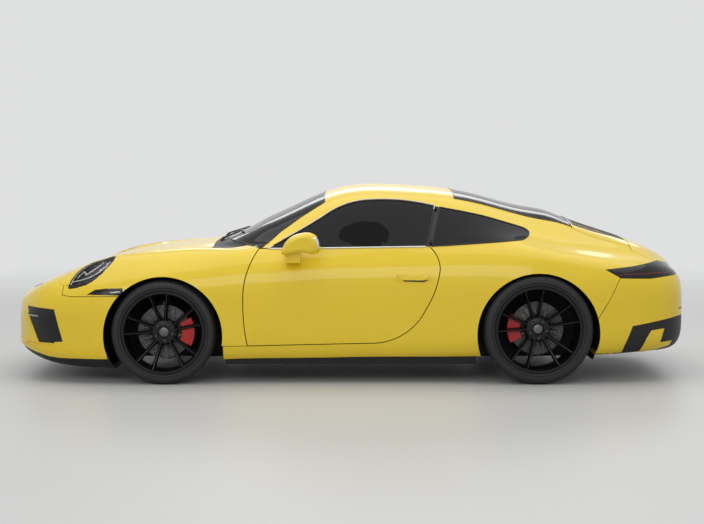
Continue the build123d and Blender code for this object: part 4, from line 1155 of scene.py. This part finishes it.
# ---- Dashboard fittings ----------------------------------------------------------------
# A wide display in the middle of the dash, in gloss black, and a short gear lever.
finished([block_piece("dash_display", (0.012, 0.270, 0.105), leaned(0.448, 0.0, 0.735, -8), 0.004)],
         "dash_display", GLOSS_BLACK, "root")
knob = turned("gear_lever", [(0.0, 0.115), (0.016, 0.112), (0.024, 0.098), (0.022, 0.080), (0.010, 0.066),
                             (0.007, 0.0), (0.0, 0.0)], 28)
finished([knob], "gear_lever", GLOSS_BLACK, "root", 40,
         Matrix.Translation((0.22, 0.0, 0.598)) @ Matrix.Rotation(math.pi / 2, 4, "X"))

# ---- Studio ----------------------------------------------------------------------------
# A plain pale floor that fades into a pale surround, and broad soft lamps. Mirrored and
# see-through rays meet the same surround as the camera, which stands ten metres off beside
# the left door, at a standing person's chest height.
FLOOR_SIZE = 400.0
FLOOR_TONE = (0.62, 0.62, 0.61)
BACKDROP_TONE = (0.74, 0.745, 0.75)
FADE_FROM, FADE_TO = 2.5, 11.0
WORLD_LIGHT = 0.55


def looked_at(finish):
    """Above 0 for what the camera meets, straight on or by way of a mirror or glass."""
    camera, mirrored, through = (finish.node("LightPath", output=f"Is {kind} Ray")
                                 for kind in ("Camera", "Glossy", "Transmission"))
    return camera + mirrored + through


bpy.ops.object.select_all(action="DESELECT")
bpy.ops.mesh.primitive_plane_add(size=FLOOR_SIZE, location=(0, 0, 0))
floor = bpy.context.object
floor.name = "studio_floor"
pale = Finish("floor_pale")
pale.surface(Base_Color=FLOOR_TONE, Roughness=0.45)
reach = pale.node("VectorMath", {"operation": "LENGTH"}, (pale.place(),), 1)
fade = pale.node("MapRange", {"interpolation_type": "SMOOTHSTEP"},
                 {"Value": reach, "From Min": FADE_FROM, "From Max": FADE_TO})
glare = pale.node("Emission", {}, {"Color": BACKDROP_TONE, "Strength": 1.0})
blended = pale.node("MixShader", {}, {0: fade * looked_at(pale), 1: Wire(pale, pale.shader.outputs[0]),
                                      2: glare})
pale.plug(pale.tree.nodes["Material Output"].inputs["Surface"], blended)
floor.data.materials.append(pale.material)

surround = Finish("studio_surround", "worlds", "Background")
strength = surround.node("Mix", {}, {0: looked_at(surround), 2: WORLD_LIGHT, 3: 1.0})
bpy.context.scene.world = surround.surface(Color=BACKDROP_TONE, Strength=strength)


def soft_lamp(name, place, aim, size, power):
    """A rectangular lamp that looks from place to aim."""
    bpy.ops.object.light_add(type="AREA", location=place)
    lamp = bpy.context.object
    lamp.name = name
    lamp.data.shape = "RECTANGLE"
    lamp.data.size, lamp.data.size_y = size
    lamp.data.energy = power
    lamp.rotation_euler = (Vector(aim) - Vector(place)).to_track_quat("-Z", "Y").to_euler()


soft_lamp("ceiling_panel", (0.0, 0.4, 5.2), (0, 0, 0), (10.0, 6.0), 215)
soft_lamp("side_panel", (1.5, 8.0, 4.0), (0, 0, 0.6), (8.0, 3.0), 150)
soft_lamp("back_panel", (-1.0, -7.5, 4.5), (0, 0, 0.8), (8.0, 2.0), 120)

CAMERA_PLACE = Vector((0.031, 10.233, 1.451))
CAMERA_AIM = Vector((-0.013, 0.0, 0.741))
IMAGE_WIDTH = 704
FOCAL_PIXELS = 1441.6
bpy.ops.object.camera_add(location=CAMERA_PLACE)
camera = bpy.context.object
camera.rotation_euler = (CAMERA_AIM - CAMERA_PLACE).to_track_quat("-Z", "Y").to_euler()
camera.data.sensor_width = 36.0
camera.data.lens = camera.data.sensor_width * FOCAL_PIXELS / IMAGE_WIDTH
bpy.context.scene.camera = camera
bpy.context.scene.view_settings.view_transform = "Standard"
